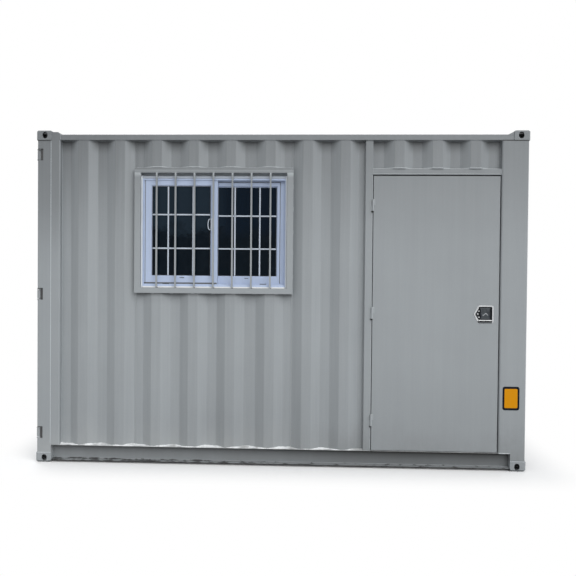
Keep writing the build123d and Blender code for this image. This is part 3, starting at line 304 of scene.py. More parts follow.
def banded(s, shade, first, whole, share):
    """A band from the first level to the level where the shade is changed by the whole share."""
    z = s.axes()[2]
    way = math.copysign(1, whole - first)
    inside = s.math("LESS_THAN", s.times(z, way), whole * way)
    return s.changed(shade, s.times(s.ramp(z, first, whole), inside), share)


def webbed(s, shade, web):
    """Painted shade on a bottom rail's web, darker to the right and under its flange."""
    x, y, z = s.axes()
    right = s.times(s.ramp(x, -0.7, 1.0), 0.35)
    dark = s.add(right, s.ramp(z, 0.015, 0.13, 0.0, web), s.ramp(z, 0.096, 0.124, 0.0, 0.3))
    return s.changed(shade, s.times(dark, s.ramp(s.facing(2), 0.6, 0.3)), -1.0)


def hollowed(s, shade, cavity):
    """Painted shade inside a hollow corner casting."""
    level = s.math("MODULO", s.axes()[2], wall_top)
    deep = s.times(s.ramp(level, 0.002, 0.006), s.ramp(level, CASTING_HEIGHT - 0.002, CASTING_HEIGHT - 0.006))
    for axis in (0, 1):
        outer = cad_box[1][axis]
        inner = outer - CASTING_SIDE
        out = s.size(s.axes()[axis])
        within = s.times(s.ramp(out, outer - 0.005, outer - 0.01), s.ramp(out, inner + 0.001, inner + 0.006))
        deep = s.times(deep, within)
    return s.changed(shade, deep, -cavity)


def dusted(s, base):
    """Dust and painted highlight on upward faces, blotchy low, an even film on the roof. Also says where it
    lies.
    """
    x, y, z = s.axes()
    facing_up = s.ramp(s.facing(2), 0.55, 0.9)
    patch = s.ramp(s.noise(9, 5, 0.65), 0.38, 0.62)
    blotches = s.ramp(s.noise(24, 5, 0.65), 0.3, 0.62, 0.35, 0.9)
    blotches = s.times(blotches, s.ramp(z, 2.3, 2.1), s.ramp(z, 0.05, 0.12))
    film = s.ramp(s.noise(1.6, 8, 0.62, shift=(6, 2, 4)), 0.3, 0.7, 0.15, 0.75)
    film = s.times(film, s.ramp(z, 2.1, 2.3))
    dust_and_top_highlight = s.times(facing_up, s.add(blotches, film))
    pale = s.times(patch, s.ramp(x, 0.6, -1.5, 0.15, 1.0), s.ramp(z, 0.5, 0.2))
    return s.mix(s.times(dust_and_top_highlight, 0.9), base, s.mix(pale, solid(DUST), solid(PALE_DUST))), dust_and_top_highlight, facing_up


def puddled(s, base, facing_up, puddle):
    """Dirt where water stood between the roof's pans, and tide marks round it."""
    pool = s.noise(2.6, 7, 0.66, shift=(2, 6, 1))
    tide = s.times(s.ramp(pool, 0.43, 0.46), s.ramp(pool, 0.49, 0.46), facing_up)
    valley = s.times(s.ramp(s.axes()[2], roof_foot + 0.014, roof_foot + 0.001), s.ramp(pool, 0.4, 0.56))
    base = s.mix(s.times(valley, puddle), base, solid(GRIME, 1.5))
    return s.mix(s.times(tide, 0.6 * puddle), base, solid(GRIME, 1.1))


def chipped_lip(s, base):
    """A bottom rail's lip, bitten dark along its lower edge, more so to the left."""
    x, y, z = s.axes()
    near_edge = s.ramp(z, 0.035, 0.021, -0.2, 0.03)
    chipped = s.add(s.noise(14, 5, 0.7, stretch=(1, 1, 3)), near_edge, s.ramp(x, -0.8, 0.3, 0.01, -0.06))
    return s.mix(s.times(s.ramp(chipped, 0.48, 0.53), 0.9), base, solid(CHIPPED))


def paint(
    name, tone=1.0, streak=1.0, grime=1.0, wave=0.0, chips=0.0, rough=0.5, web=0.0, cavity=0.0, puddle=0.0,
    bands=(),
):
    """Grey container paint. wave is a sheet's waviness and adds painted shade under the top rail, web painted
    shade on bottom rails, cavity painted shade in castings, puddle is for the roof, and each of bands goes to
    banded."""
    s = new_material(name)
    x, y, z = s.axes()
    cloud = s.noise(0.8, 4, 0.6)
    shade = weathered_and_shaded(s, cloud, tone, streak)
    if wave:
        shade = shade_under_rail(s, shade)
    for band in bands:
        shade = banded(s, shade, *band)
    if web:
        shade = webbed(s, shade, web)
    if cavity:
        shade = hollowed(s, shade, cavity)
    base = s.mix(1.0, solid(PAINT), s.node("CombineColor", Red=shade, Green=shade, Blue=shade), "MULTIPLY")
    splash = s.noise(6.0, 5, 0.65, stretch=(1, 1, 0.5))
    low = s.ramp(s.add(z, s.times(splash, -0.5)), 0.12, -0.28)
    mud = solid(GRIME) if web else s.mix(s.ramp(x, -0.6, 1.0), solid(PALE_MUD), solid(GRIME))
    base = s.mix(s.times(low, 0.45 * grime), base, mud)
    run_dirt = s.ramp(s.noise(1.0, 5, 0.7, stretch=(38, 38, 0.9), shift=(9, 2, 1)), 0.6, 0.8)
    base = s.mix(s.times(run_dirt, 0.15 * grime), base, solid(GRIME, 1.2))
    base, dust_and_top_highlight, facing_up = dusted(s, base)
    if puddle:
        base = puddled(s, base, facing_up, puddle)
    if chips:
        chip = s.ramp(s.noise(46, 6, 0.72, shift=(4, 4, 4)), 0.7, 0.735)
        base = s.mix(s.times(chip, chips), base, solid(RUST))
    if web:
        base = chipped_lip(s, base)
    normal = s.bump(s.noise(420, 2, 0.5), 0.00012)
    if wave:
        normal = s.bump(s.noise(3.2, 2, 0.5, shift=(1, 7, 2)), 0.006 * wave, normal)
    gloss = s.add(s.ramp(cloud, 0.3, 0.7, rough - 0.05, rough + 0.07), s.times(low, 0.2), s.times(dust_and_top_highlight, 0.2))
    return s.surface(Base_Color=base, Roughness=gloss, Normal=normal, Specular_IOR_Level=0.4)


# ---------- other materials
def plastic(name, colour, rough=0.35, dirt=1.0, shine=0.45):
    """Plastic with a film of dust, darker towards the window's head."""
    s = new_material(name)
    cloud = s.noise(7, 4, 0.6)
    speck = s.noise(160, 3, 0.6)
    runs = s.noise(1.0, 4, 0.6, stretch=(60, 60, 5))
    base = s.mix(s.ramp(s.axes()[2], 1.38, 2.15), solid(colour), solid(colour, 0.93))
    base = s.mix(s.ramp(cloud, 0.35, 0.7, 0.0, 0.1 * dirt), base, solid(colour, 0.72))
    base = s.mix(s.ramp(runs, 0.5, 0.75, 0.0, 0.1 * dirt), base, solid(GRIME, 2.0))
    base = s.mix(s.ramp(speck, 0.62, 0.75, 0.0, 0.25 * dirt), base, solid(colour, 0.55))
    gloss = s.ramp(cloud, 0.3, 0.7, rough - 0.05, rough + 0.12)
    normal = s.bump(s.noise(300, 2), 0.0001)
    return s.surface(Base_Color=base, Roughness=gloss, Normal=normal, Specular_IOR_Level=shine)


def glass(name):
    """Glass over a dark room, with a painted reflection, paler over the upper panes and ragged at its lower
    edge.
    """
    s = new_material(name)
    x, y, z = s.axes()
    edge = s.add(z, s.times(s.noise(9, 5, 0.6, stretch=(1, 1, 1.4)), 0.34))
    edge = s.add(edge, s.times(s.noise(38, 4, 0.6), 0.06))
    film = s.ramp(edge, 1.9, 2.02)
    mottle = s.ramp(s.noise(22, 4, 0.65), 0.4, 0.7)
    # Painted reflection: mottled on the lower panes, paler at the upper left.
    lower = s.mix(s.times(mottle, 0.4), (0.0022, 0.0058, 0.0102, 1), (0.008, 0.013, 0.019, 1))
    upper = s.mix(s.ramp(x, -0.55, -0.35), (0.0122, 0.0218, 0.0328, 1), (0.003, 0.0084, 0.0172, 1))
    base = s.mix(film, lower, upper)
    gloss = s.ramp(mottle, 0.0, 1.0, 0.03, 0.08)
    return s.surface(Base_Color=base, Roughness=gloss, Alpha=0.97, Specular_IOR_Level=0.06, IOR=1.45)


def rubber(name, colour=(0.018, 0.018, 0.019)):
    """Dull rubber or fibre, dusty in clouds."""
    s = new_material(name)
    cloud = s.noise(30, 3, 0.6)
    base = s.mix(s.ramp(cloud, 0.4, 0.75, 0.0, 0.5), solid(colour), solid(DUST, 0.22))
    gloss = s.ramp(cloud, 0.3, 0.7, 0.6, 0.8)
    return s.surface(Base_Color=base, Roughness=gloss, Normal=s.bump(s.noise(500, 2), 0.0002))


def zinc(name, colour=(0.5, 0.52, 0.54), rough=0.38, spangle=1.0, metal=0.85):
    """Zinc-coated steel: crystal flowers, white rust and a dull sheen."""
    s = new_material(name)
    flower = s.node("TexVoronoi", 1, Vector=s.object_place(), Scale=130.0)
    tone = s.node("RGBToBW", Color=flower)
    base = s.mix(s.times(tone, 0.3 * spangle), solid(colour), solid(colour, 0.62))
    bloom = s.ramp(s.noise(18, 5, 0.65), 0.56, 0.74)
    base = s.mix(s.times(bloom, 0.35), base, (0.52, 0.52, 0.5, 1))
    gloss = s.add(s.times(tone, 0.12 * spangle), s.times(bloom, 0.28), rough - 0.04)
    normal = s.bump(s.noise(220, 3), 0.00015)
    return s.surface(Base_Color=base, Metallic=metal, Roughness=gloss, Normal=normal)


def latch(name):
    """Pressed, zinc-plated steel: bright on its rim, with painted shade deeper in and a painted shadow along
    its foot.
    """
    s = new_material(name)
    x, y, z = s.axes()
    low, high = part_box("latch_dish")
    scratch = s.noise(1.0, 3, 0.6, stretch=(30, 30, 260))
    bright = s.mix(s.ramp(scratch, 0.35, 0.7), (0.62, 0.635, 0.65, 1), (0.4, 0.41, 0.42, 1))
    sides = s.times(s.ramp(x, low[0] + 0.033, low[0] + 0.035), s.ramp(x, high[0] - 0.0085, high[0] - 0.0105))
    ends = s.times(s.ramp(z, low[2] + 0.009, low[2] + 0.011), s.ramp(z, high[2] - 0.0085, high[2] - 0.0105))
    # Painted shade deeper in the dish.
    deep = s.math("MAXIMUM", s.ramp(y, low[1] + 0.0035, low[1] + 0.006), s.times(sides, ends))
    recess_shade = s.mix(s.ramp(s.noise(60, 4), 0.4, 0.7), (0.018, 0.022, 0.03, 1), (0.05, 0.055, 0.06, 1))
    # A painted shadow along the rim's foot, under the finger lip.
    foot = s.times(s.ramp(z, low[2] + 0.018, low[2] + 0.016), s.ramp(x, high[0] - 0.008, high[0] - 0.012))
    foot = s.times(foot, s.ramp(x, low[0] + 0.024, low[0] + 0.03))
    base = s.mix(s.times(foot, 0.9), bright, (0.035, 0.038, 0.042, 1))
    base = s.mix(deep, base, recess_shade)
    gloss = s.add(s.ramp(scratch, 0.3, 0.7, 0.2, 0.3), s.times(deep, 0.25))
    return s.surface(Base_Color=base, Metallic=s.ramp(deep, 0.0, 1.0, 0.85, 0.3), Roughness=gloss)


def paddle(name):
    """Dark satin paddle, with a painted wavy highlight across it and painted shade in the slots beside it."""
    s = new_material(name)
    x, y, z = s.axes()
    low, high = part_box("latch_paddle")
    middle = (low[0] + high[0]) / 2
    wave = s.times(s.math("SINE", s.times(s.add(x, 0.0045 - middle), 165.0)), 0.0068)
    painted_glint = s.ramp(s.size(s.add(z, s.times(wave, -1.0), -0.0365 - low[2])), 0.0052, 0.0015)
    painted_glint = s.times(painted_glint, s.ramp(s.size(s.add(x, -0.002 - middle)), 0.024, 0.014))
    # Painted shade in the slots beside the paddle.
    beside = s.ramp(s.size(s.add(x, -middle)), 0.022, 0.027)
    hollow = s.times(beside, s.ramp(s.size(s.add(z, -0.026 - low[2])), 0.016, 0.01))
    cloud = s.ramp(s.noise(45, 4, 0.65), 0.3, 0.7)
    base = s.mix(cloud, (0.016, 0.021, 0.026, 1), (0.046, 0.054, 0.061, 1))
    base = s.mix(s.times(hollow, 0.9), base, (0.004, 0.009, 0.018, 1))
    base = s.mix(s.times(painted_glint, 0.8), base, (0.4, 0.42, 0.44, 1))
    return s.surface(Base_Color=base, Metallic=0.35, Roughness=s.ramp(cloud, 0.0, 1.0, 0.3, 0.45))


def settled_dust(name):
    """Pale dust and grit that has settled along a ledge."""
    s = new_material(name)
    heap = s.ramp(s.noise(11, 5, 0.65), 0.36, 0.6)
    grit = s.ramp(s.noise(210, 4, 0.7), 0.35, 0.7)
    base = s.mix(heap, solid(DUST), (0.78, 0.8, 0.81, 1))
    base = s.mix(s.times(grit, 0.35), base, (0.26, 0.27, 0.27, 1))
    normal = s.bump(s.noise(260, 4, 0.7), 0.0012)
    return s.surface(Base_Color=base, Roughness=0.95, Normal=normal, Specular_IOR_Level=0.15)


def plywood(name):
    """Sealed hardwood ply, scuffed, with dried mud by the door."""
    s = new_material(name)
    x, y, z = s.axes()
    grain = s.noise(1.0, 5, 0.65, stretch=(60, 3.2, 60))
    figure = s.noise(1.0, 3, 0.5, stretch=(7, 0.8, 7), shift=(2, 2, 2))
    base = s.mix(s.ramp(figure, 0.3, 0.7), (0.2, 0.105, 0.052, 1), (0.335, 0.195, 0.105, 1))
    base = s.mix(s.times(s.ramp(grain, 0.42, 0.66), 0.5), base, (0.115, 0.058, 0.03, 1))
    scuff = s.ramp(s.noise(3.5, 6, 0.7, stretch=(1, 2.2, 1), shift=(8, 1, 3)), 0.52, 0.72)
    base = s.mix(s.times(scuff, 0.35), base, solid(DUST, 0.7))
    near = s.times(s.ramp(x, -0.2, 1.0), s.ramp(y, 0.5, -0.9))
    base = s.mix(s.times(near, s.ramp(s.noise(7, 5, 0.7), 0.48, 0.68), 0.6), base, (0.15, 0.125, 0.1, 1))
    gloss = s.add(s.times(scuff, 0.3), s.ramp(grain, 0.3, 0.7, 0.34, 0.46))
    return s.surface(Base_Color=base, Roughness=gloss, Normal=s.bump(grain, 0.0006))


def board(name):
    """White-faced board, scuffed near the floor, with grubby hand marks."""
    s = new_material(name)
    cloud = s.noise(1.4, 4, 0.6)
    emboss = s.noise(1.0, 4, 0.6, stretch=(90, 90, 9))
    base = s.mix(s.ramp(cloud, 0.3, 0.7), (0.66, 0.655, 0.625, 1), (0.73, 0.725, 0.7, 1))
    scuff = s.ramp(s.noise(5, 6, 0.7, stretch=(1, 1, 2.4)), 0.55, 0.74)
    low = s.ramp(s.axes()[2], 0.75, 0.13)
    base = s.mix(s.times(scuff, low, 0.55), base, (0.27, 0.25, 0.22, 1))
    hands = s.ramp(s.noise(11, 5, 0.7, shift=(5, 5, 5)), 0.62, 0.78)
    base = s.mix(s.times(hands, 0.22), base, (0.36, 0.34, 0.31, 1))
    gloss = s.ramp(cloud, 0.3, 0.7, 0.38, 0.5)
    return s.surface(Base_Color=base, Roughness=gloss, Normal=s.bump(emboss, 0.0002))


def dress(material, names):
    """Gives CAD nodes their material."""
    for name in names.split():
        slots = nodes[name].material_slots
        if not slots:
            nodes[name].data.materials.append(material)
        for slot in slots:
            slot.material = material


head_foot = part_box("entrance_head")[0][2]
guard_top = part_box("window_guard_frame")[1][2]
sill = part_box("front_wall_under_window")[1][2]
# A painted highlight along the lower edge of the door's head.
head_edge_highlight = ((head_foot + 0.01, head_foot - 0.004, 0.4),)
# Painted shade and light at the guard's head: a dark line just under its top, the reveal under it lightened.
guard_head_shade_and_light = (
    (guard_top - 0.013, guard_top - 0.005, -0.4),
    (guard_top - 0.034, guard_top - 0.014, 0.1),
    (guard_top - 0.075, guard_top - 0.0345, 0.6),
)
# Painted shadow on the wall just under the guard's sill bar.
under_guard_shadow = ((sill - 0.034, sill + 0.001, -0.5), (sill - 0.1, sill + 0.001, -0.12))
post_bands = ((1.35, 1.97, -0.17), (2.45, 1.97, -0.17))

wall_paint = paint("wall_paint", tone=0.99, wave=1.0)
frame_paint = paint("frame_paint", streak=0.6, wave=0.4, chips=0.5)
# The hinges' paint, made lighter as a painted highlight on their barrels.
hinge_highlight_paint = paint("hinge_highlight_paint", tone=1.2, streak=0.4, grime=0.4, chips=0.4)
head_paint = paint("head_paint", tone=1.02, streak=0.6, bands=head_edge_highlight)
rail_paint = paint("rail_paint", streak=0.6, grime=0.6, chips=0.5, web=0.42)
door_paint = paint("door_paint", streak=0.5, grime=0.5, wave=0.8, rough=0.45)
casting_paint = paint("casting_paint", tone=1.04, streak=0.4, grime=0.25, chips=0.8, rough=0.6, cavity=0.8)
under_paint = paint("under_paint", tone=0.55, streak=0.3, grime=1.5, chips=0.8, rough=0.7)
guard_paint = paint("guard_paint", tone=1.06, streak=0.4, grime=0.5, rough=0.42, bands=guard_head_shade_and_light)
sill_paint = paint("sill_paint", wave=1.0, bands=under_guard_shadow)
roof_paint = paint("roof_paint", wave=1.0, puddle=0.45)
post_paint = paint("post_paint", streak=0.6, wave=0.4, chips=0.5, bands=post_bands)
# Pale paint for beads that are painted highlights on edges.
highlight_weld = paint("highlight_weld", tone=1.62, streak=0.5, grime=0.3, rough=0.55)
weld_paint = paint("weld_paint", tone=1.16, streak=0.5, grime=0.5, chips=0.5, rough=0.55)
white_plastic = plastic("window_plastic", (0.425, 0.505, 0.67))
bar_plastic = plastic("glazing_bar_plastic", (0.53, 0.585, 0.665))
sealant = plastic("window_sealant", (0.62, 0.66, 0.7), 0.6)
shaded_head_sealant = plastic("shaded_head_sealant", (0.4, 0.44, 0.5), 0.6)
sill_highlight_white = plastic("sill_highlight_white", (0.74, 0.75, 0.75), 0.3, 0.4)
plate_orange = plastic("plate_orange", (0.61, 0.25, 0.001), 0.6, 0.4, shine=0.12)
plate_black = plastic("plate_black", (0.003, 0.005, 0.009), 0.7, 0.3, shine=0.12)
brush = rubber("sash_brush", (0.1, 0.105, 0.11))
# Dark rubber for seams, also used as painted shade in gaps and recesses.
seam_and_shade_dark = rubber("seam_and_shade_dark", (0.035, 0.036, 0.037))
rubber_black = rubber("seal_rubber")
bright_metal = zinc("galvanised_steel")
polish_and_highlight = zinc("lip_polish_and_highlight", (0.9, 0.91, 0.92), 0.3, 0.2, 0.4)

dress(wall_paint, "front_wall_left front_wall_over_window front_wall_right front_wall_over_door")
dress(wall_paint, "back_wall end_wall")
dress(sill_paint, "front_wall_under_window")
dress(roof_paint, "roof_panel")
dress(post_paint, "door_end_posts")
dress(frame_paint, "closed_end_posts top_side_rails end_top_rail top_corner_gussets entrance_jamb")
dress(frame_paint, "entrance_door_stop cargo_door_sill cargo_door_header cargo_door_hinges")
dress(frame_paint, "cargo_door_front_leaf cargo_door_back_leaf")
dress(rail_paint, "bottom_side_rails end_bottom_rail")
dress(head_paint, "entrance_head")
dress(hinge_highlight_paint, "entrance_hinge_frame_halves entrance_hinge_door_halves")
dress(door_paint, "entrance_door_leaf entrance_door_inner_panel")
dress(casting_paint, "bottom_corner_castings top_corner_castings")
dress(under_paint, "floor_cross_members")
dress(guard_paint, "window_guard_frame window_guard_bars window_subframe")
dress(white_plastic, "window_outer_frame window_left_sash window_right_sash")
dress(glass("window_glass"), "window_panes")
dress(rubber_black, "entrance_door_seal cargo_door_gaskets")
dress(bright_metal, "cargo_door_lock_rods cargo_door_rod_guides cargo_door_keepers")
dress(bright_metal, "cargo_door_handles cargo_door_handle_catches")
dress(latch("latch_metal"), "latch_dish")
dress(paddle("latch_paddle_metal"), "latch_paddle latch_inner_cover")
dress(plywood("floor_plywood"), "floor_boards")
dress(board("lining_board"), "front_lining back_lining end_lining ceiling_lining")


# ---------- shapes
FRONT, BACK, LEFT, RIGHT, UP, DOWN = (0, -1, 0), (0, 1, 0), (-1, 0, 0), (1, 0, 0), (0, 0, 1), (0, 0, -1)


def turned(normal):
    """The turn that stands a flat drawing on a face with this normal."""
    out = Vector(normal)
    upward = Vector((0, 1, 0)) if abs(out.z) > 0.5 else Vector((0, 0, 1))
    return Matrix((upward.cross(out), upward, out)).transposed()


def rounded(width, height, radius, turns=4):
    """The outline of a rectangle with round corners, about its middle."""
    outline = []
    for quarter, (side, level) in enumerate(((1, 1), (-1, 1), (-1, -1), (1, -1))):
        for step in range(turns + 1):
            angle = math.radians(90 * (quarter + step / turns))
            across = side * (width / 2 - radius) + radius * math.cos(angle)
            outline.append((across, level * (height / 2 - radius) + radius * math.sin(angle)))
    return outline


def circle(radius, flats=16):
    angles = [math.tau * index / flats for index in range(flats)]
    return [(radius * math.cos(angle), radius * math.sin(angle)) for angle in angles]


def walk(corners, step):
    """Points along straight runs between corners, about a step apart."""
    path = [Vector(corners[0])]
    for start, end in zip(corners, corners[1:]):
        start, end = Vector(start), Vector(end)
        count = max(1, round((end - start).length / step))
        path += [start.lerp(end, (i + 1) / count) for i in range(count)]
    return path


class Shape:
    """One piece's mesh, gathered from forms skinned over rings of points."""

    def __init__(self, seed=1):
        self.mesh = bmesh.new()
        self.random = random.Random(seed)

    def skin(self, rings):
        made = [[self.mesh.verts.new(point) for point in ring] for ring in rings]
        count = len(made[0])
        for near, far in zip(made, made[1:]):
            for this in range(count):
                after = (this + 1) % count
                self.mesh.faces.new((near[this], near[after], far[after], far[this]))
        self.mesh.faces.new(reversed(made[0]))
        self.mesh.faces.new(made[-1])

    def layers(self, place, normal, *levels):
        """A form standing on a face, from outlines at their heights above it."""
        turn, place = turned(normal), Vector(place)
        self.skin([[place + turn @ Vector((u, v, height)) for u, v in outline] for height, outline in levels])

    def pad(self, place, normal, width, height, radius, thick, ease=0.0004):
        """A flat plate with round corners and an eased upper edge."""
        full = rounded(width, height, radius)
        eased = rounded(width - 2 * ease, height - 2 * ease, max(radius - ease, 0.0001))
        self.layers(place, normal, (0, full), (thick - ease, full), (thick, eased))

    def dome(self, place, normal, radius, height, flats=14):
        """A round head, such as a rivet's or a pan-head screw's."""
        rise = [(math.sin(a) * height, math.cos(a) * radius) for a in (0.0, 0.35, 0.7, 1.05, 1.35)]
        self.layers(place, normal, *((level, circle(wide, flats)) for level, wide in rise))

    def bar(self, low, high, ease=0.001):
        """A straight bar between two corners, with eased edges and ends."""
        low, high = Vector(low), Vector(high)
        size, centre = high - low, (low + high) / 2
        axis = max(range(3), key=lambda k: size[k])
        normal = Vector([float(k == axis) for k in range(3)])
        wide, tall = ((size.y, size.z), (size.x, size.z), (size.x, size.y))[axis]
        full = rounded(wide, tall, ease, 1)
        inner = rounded(wide - 2 * ease, tall - 2 * ease, ease / 2, 1)
        start, end = -size[axis] / 2, size[axis] / 2
        self.layers(centre, normal, (start, inner), (start + ease, full), (end - ease, full), (end, inner))

    def rod(self, path, radii, flats=10):
        """A round bar along a path, with a radius for each of its points."""
        rings, side = [], None
        for index, here in enumerate(path):
            run = (path[min(index + 1, len(path) - 1)] - path[max(index - 1, 0)]).normalized()
            side = run.orthogonal() if side is None else side - run * side.dot(run)
            side.normalize()
            over = run.cross(side)
            rings.append([here + side * u + over * v for u, v in circle(radii[index], flats)])
        self.skin(rings)

    def bead(self, *corners, radius=0.003, step=0.005):
        """A weld bead along straight runs, rippled and uneven as a hand leaves it."""
        path = walk(corners, step)
        radii = []
        for index in range(len(path)):
            ripple = 0.12 * math.sin(index * 2.3) + self.random.uniform(-0.12, 0.12)
            radii.append(radius * (0.86 + ripple) * (0.45 if index in (0, len(path) - 1) else 1.0))
        self.rod(path, radii, 7)

    def stitches(self, start, end, count, length=0.03, radius=0.003):
        """Short beads, evenly spaced along a run."""
        start, end = Vector(start), Vector(end)
        run = (end - start).normalized()
        for index in range(count):
            middle = start.lerp(end, (index + 0.5) / count) + run * self.random.uniform(-0.008, 0.008)
            self.bead(middle - run * length / 2, middle + run * length / 2, radius=radius, step=0.003)

    def blob(self, place, normal, radius, height):
        """A lumpy spot of weld."""
        turn, place = turned(normal), Vector(place)
        rings = []
        for rise in (0.0, 0.4, 0.8, 1.15, 1.4):
            ring = []
            for u, v in circle(radius * math.cos(rise), 12):
                lump = 1 + self.random.uniform(-0.14, 0.14)
                ring.append(place + turn @ Vector((u * lump, v * lump, height * math.sin(rise))))
            rings.append(ring)
        self.skin(rings)

    def finish(self, name, material, slot="cabin_paint", body="cabin"):
        """Makes the piece an object that rides on its body."""
        bmesh.ops.recalc_face_normals(self.mesh, faces=self.mesh.faces)
        mesh = bpy.data.meshes.new(name)
        self.mesh.to_mesh(mesh)
        self.mesh.free()
        mesh.shade_smooth()
        mesh.set_sharp_from_angle(angle=math.radians(38))
        mesh.materials.append(material)
        made = new_object(name, mesh)
        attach(made, body)


# ---------- places read from the frame
TOUCH = 0.0001


def solids(node):
    """The lowest and highest corners of each separate solid of a node."""
    mesh = nodes[node].data
    boxes = []
    for polygon in mesh.polygons:
        corners = [mesh.vertices[index].co for index in polygon.vertices]
        low, high = Vector(map(min, zip(*corners))), Vector(map(max, zip(*corners)))
        for other in list(boxes):
            if all(other[0][k] <= high[k] + TOUCH and low[k] <= other[1][k] + TOUCH for k in range(3)):
                boxes.remove(other)
                low, high = Vector(map(min, low, other[0])), Vector(map(max, high, other[1]))
        boxes.append((low, high))
    return sorted(boxes, key=lambda found: [round(value, 3) for value in found[0]])


def sheet_edge(node, level, normal):
    """The bends of a pressed sheet's outer face at one level."""
    mesh, out = nodes[node].data, Vector(normal)
    along = 0 if abs(out.y) > 0.5 else 1
    found = {}
    for polygon in mesh.polygons:
        if polygon.normal.dot(out) > 0.3:
            for index in polygon.vertices:
                place = mesh.vertices[index].co
                if abs(place.z - level) < 0.002:
                    found[round(place[along], 3)] = Vector((place.x, place.y, level))
    return [found[key] for key in sorted(found)]


def spaced(start, end, pitch):
    """Even places between two ends, at most a pitch apart."""
    count = max(1, math.ceil((end - start) / pitch))
    return [start + (end - start) * (i + 0.5) / count for i in range(count)]


def box(node):
    return tuple(Vector(corner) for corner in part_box(node))


outer_low, outer_high = box("window_outer_frame")
left_low, left_high = box("window_left_sash")
right_low, right_high = box("window_right_sash")
panes = sorted(solids("window_panes"), key=lambda pane: pane[0].x)
rods = solids("window_guard_bars")
rod_foot, rod_head = rods[0][0].z, rods[0][1].z
post_low, post_high = box("closed_end_posts")
cargo_post_low = box("door_end_posts")[0]
rail_low, rail_high = box("bottom_side_rails")
top_rail_low, top_rail_high = box("top_side_rails")
jamb_x = box("entrance_jamb")[1].x
head_low, head_high = box("entrance_head")
wall_low, wall_high = box("front_wall_right")
back_low, back_high = box("back_lining")
end_low = box("end_lining")[0]
ceiling = box("ceiling_lining")[0].z
casting_top = box("bottom_corner_castings")[1].z
FACE = post_low.y  # the front faces of the posts and rails

# ---------- the window's small parts
# Two bars up and two across on each face of each pane, and a gasket round it.
BAR, BAR_RISE, GASKET, GASKET_RISE = 0.011, 0.0045, 0.004, 0.0035
bars, gaskets = Shape(), Shape()
for low, high in panes:
    middle = (low + high) / 2
    left = int(low is panes[0][0])
    for face, out in ((low.y, -1), (high.y, 1)):
        near, far = sorted((face, face + out * BAR_RISE))
        for x in (middle.x - 0.094 - 0.005 * left, middle.x + 0.094 - 0.005 * left):
            bars.bar((x - BAR / 2, near, low.z + 0.001), (x + BAR / 2, far, high.z - 0.001), 0.002)
        for z in (middle.z - 0.131, middle.z + 0.116 + 0.006 * left):
            bars.bar((low.x + 0.001, near, z - BAR / 2), (high.x - 0.001, far, z + BAR / 2), 0.002)
        near, far = sorted((face, face + out * GASKET_RISE))
        for x in (low.x, high.x - GASKET):
            gaskets.bar((x, near, low.z), (x + GASKET, far, high.z))
        for z in (low.z, high.z - GASKET):
            gaskets.bar((low.x, near, z), (high.x, far, z + GASKET))
bars.finish("window_glazing_bars", bar_plastic, "window_plastic")
gaskets.finish("window_glazing_gaskets", rubber_black, "seal_rubber")

# Sealant beside and over the outer frame, and its sill's bright lip, whiter as a painted highlight.
low, high, face = outer_low, outer_high, outer_low.y
beside, over, lip = Shape(), Shape(), Shape()
# The side sealant, pale partly as painted light in the reveals.
for x in (low.x - 0.0015, high.x - 0.0085):
    beside.bar((x, face - 0.015, low.z), (x + 0.01, face + 0.004, high.z), 0.003)
beside.finish("window_sealant", sealant, "window_plastic")
# The head's sealant, darker as painted shade.
over.bar((low.x, face - 0.003, high.z - 0.018), (high.x, face + 0.004, high.z + 0.001), 0.0025)
over.finish("window_head_sealant", shaded_head_sealant, "window_plastic")
lip.bar((low.x + 0.01, face - 0.012, low.z + 0.0005), (high.x - 0.01, face + 0.004, low.z + 0.011), 0.002)
lip.finish("window_sill_lip", sill_highlight_white, "window_plastic")

# Brushes where the sashes run, and a wider dark one over the right sash, also a painted shade for its recess.
brushes, head_brush_shade = Shape(), Shape()
low, high, face = left_low, left_high, left_low.y
z = low.z + 0.0155
brushes.bar((low.x + 0.003, face - 0.001, z), (high.x - 0.003, face + 0.001, z + 0.011), 0.0008)
brushes.bar((low.x + 0.008, face - 0.001, z), (low.x + 0.0125, face + 0.001, high.z - 0.004), 0.0008)
low, high, face = right_low, right_high, right_low.y
x, z = high.x - 0.038, high.z - 0.022
brushes.bar((x, face - 0.001, low.z + 0.02), (x + 0.005, face + 0.001, z), 0.0008)
brushes.finish("window_sash_brushes", brush, "seal_rubber")
head_brush_shade.bar((left_high.x, face - 0.002, z - 0.004), (x + 0.005, face + 0.001, z + 0.014))
head_brush_shade.finish("window_head_brush_shade", seam_and_shade_dark, "seal_rubber")

# Beads over the left sash's head and the right pane's.
cover = Shape()
low, high = left_low, left_high
cover.bar((low.x, outer_low.y + 0.0006, high.z - 0.008), (high.x, low.y + 0.001, high.z + 0.002), 0.0008)
low, high = panes[1]
cover.bar((low.x, low.y - 0.0035, high.z - 0.005), (high.x, low.y, high.z))
cover.finish("window_cover_beads", white_plastic, "window_plastic")

# Drain slots, dark pads standing for their shaded openings: a corner, the way across and up from it, width
# and height.
slots = Shape()
for corner, across, rise, width, height in (
    (left_low, 0.2905, 0.062, 0.036, 0.005),
    (right_low, 0.271, 0.061, 0.03, 0.004),
    (outer_low, 0.185, 0.032, 0.05, 0.007),
    (outer_low, 0.918, 0.033, 0.05, 0.005),
):
    slots.pad(corner + Vector((across, 0, rise)), FRONT, width, height, height / 2 - 0.0001, 0.0012)
slots.finish("window_weep_slots", rubber_black, "seal_rubber")

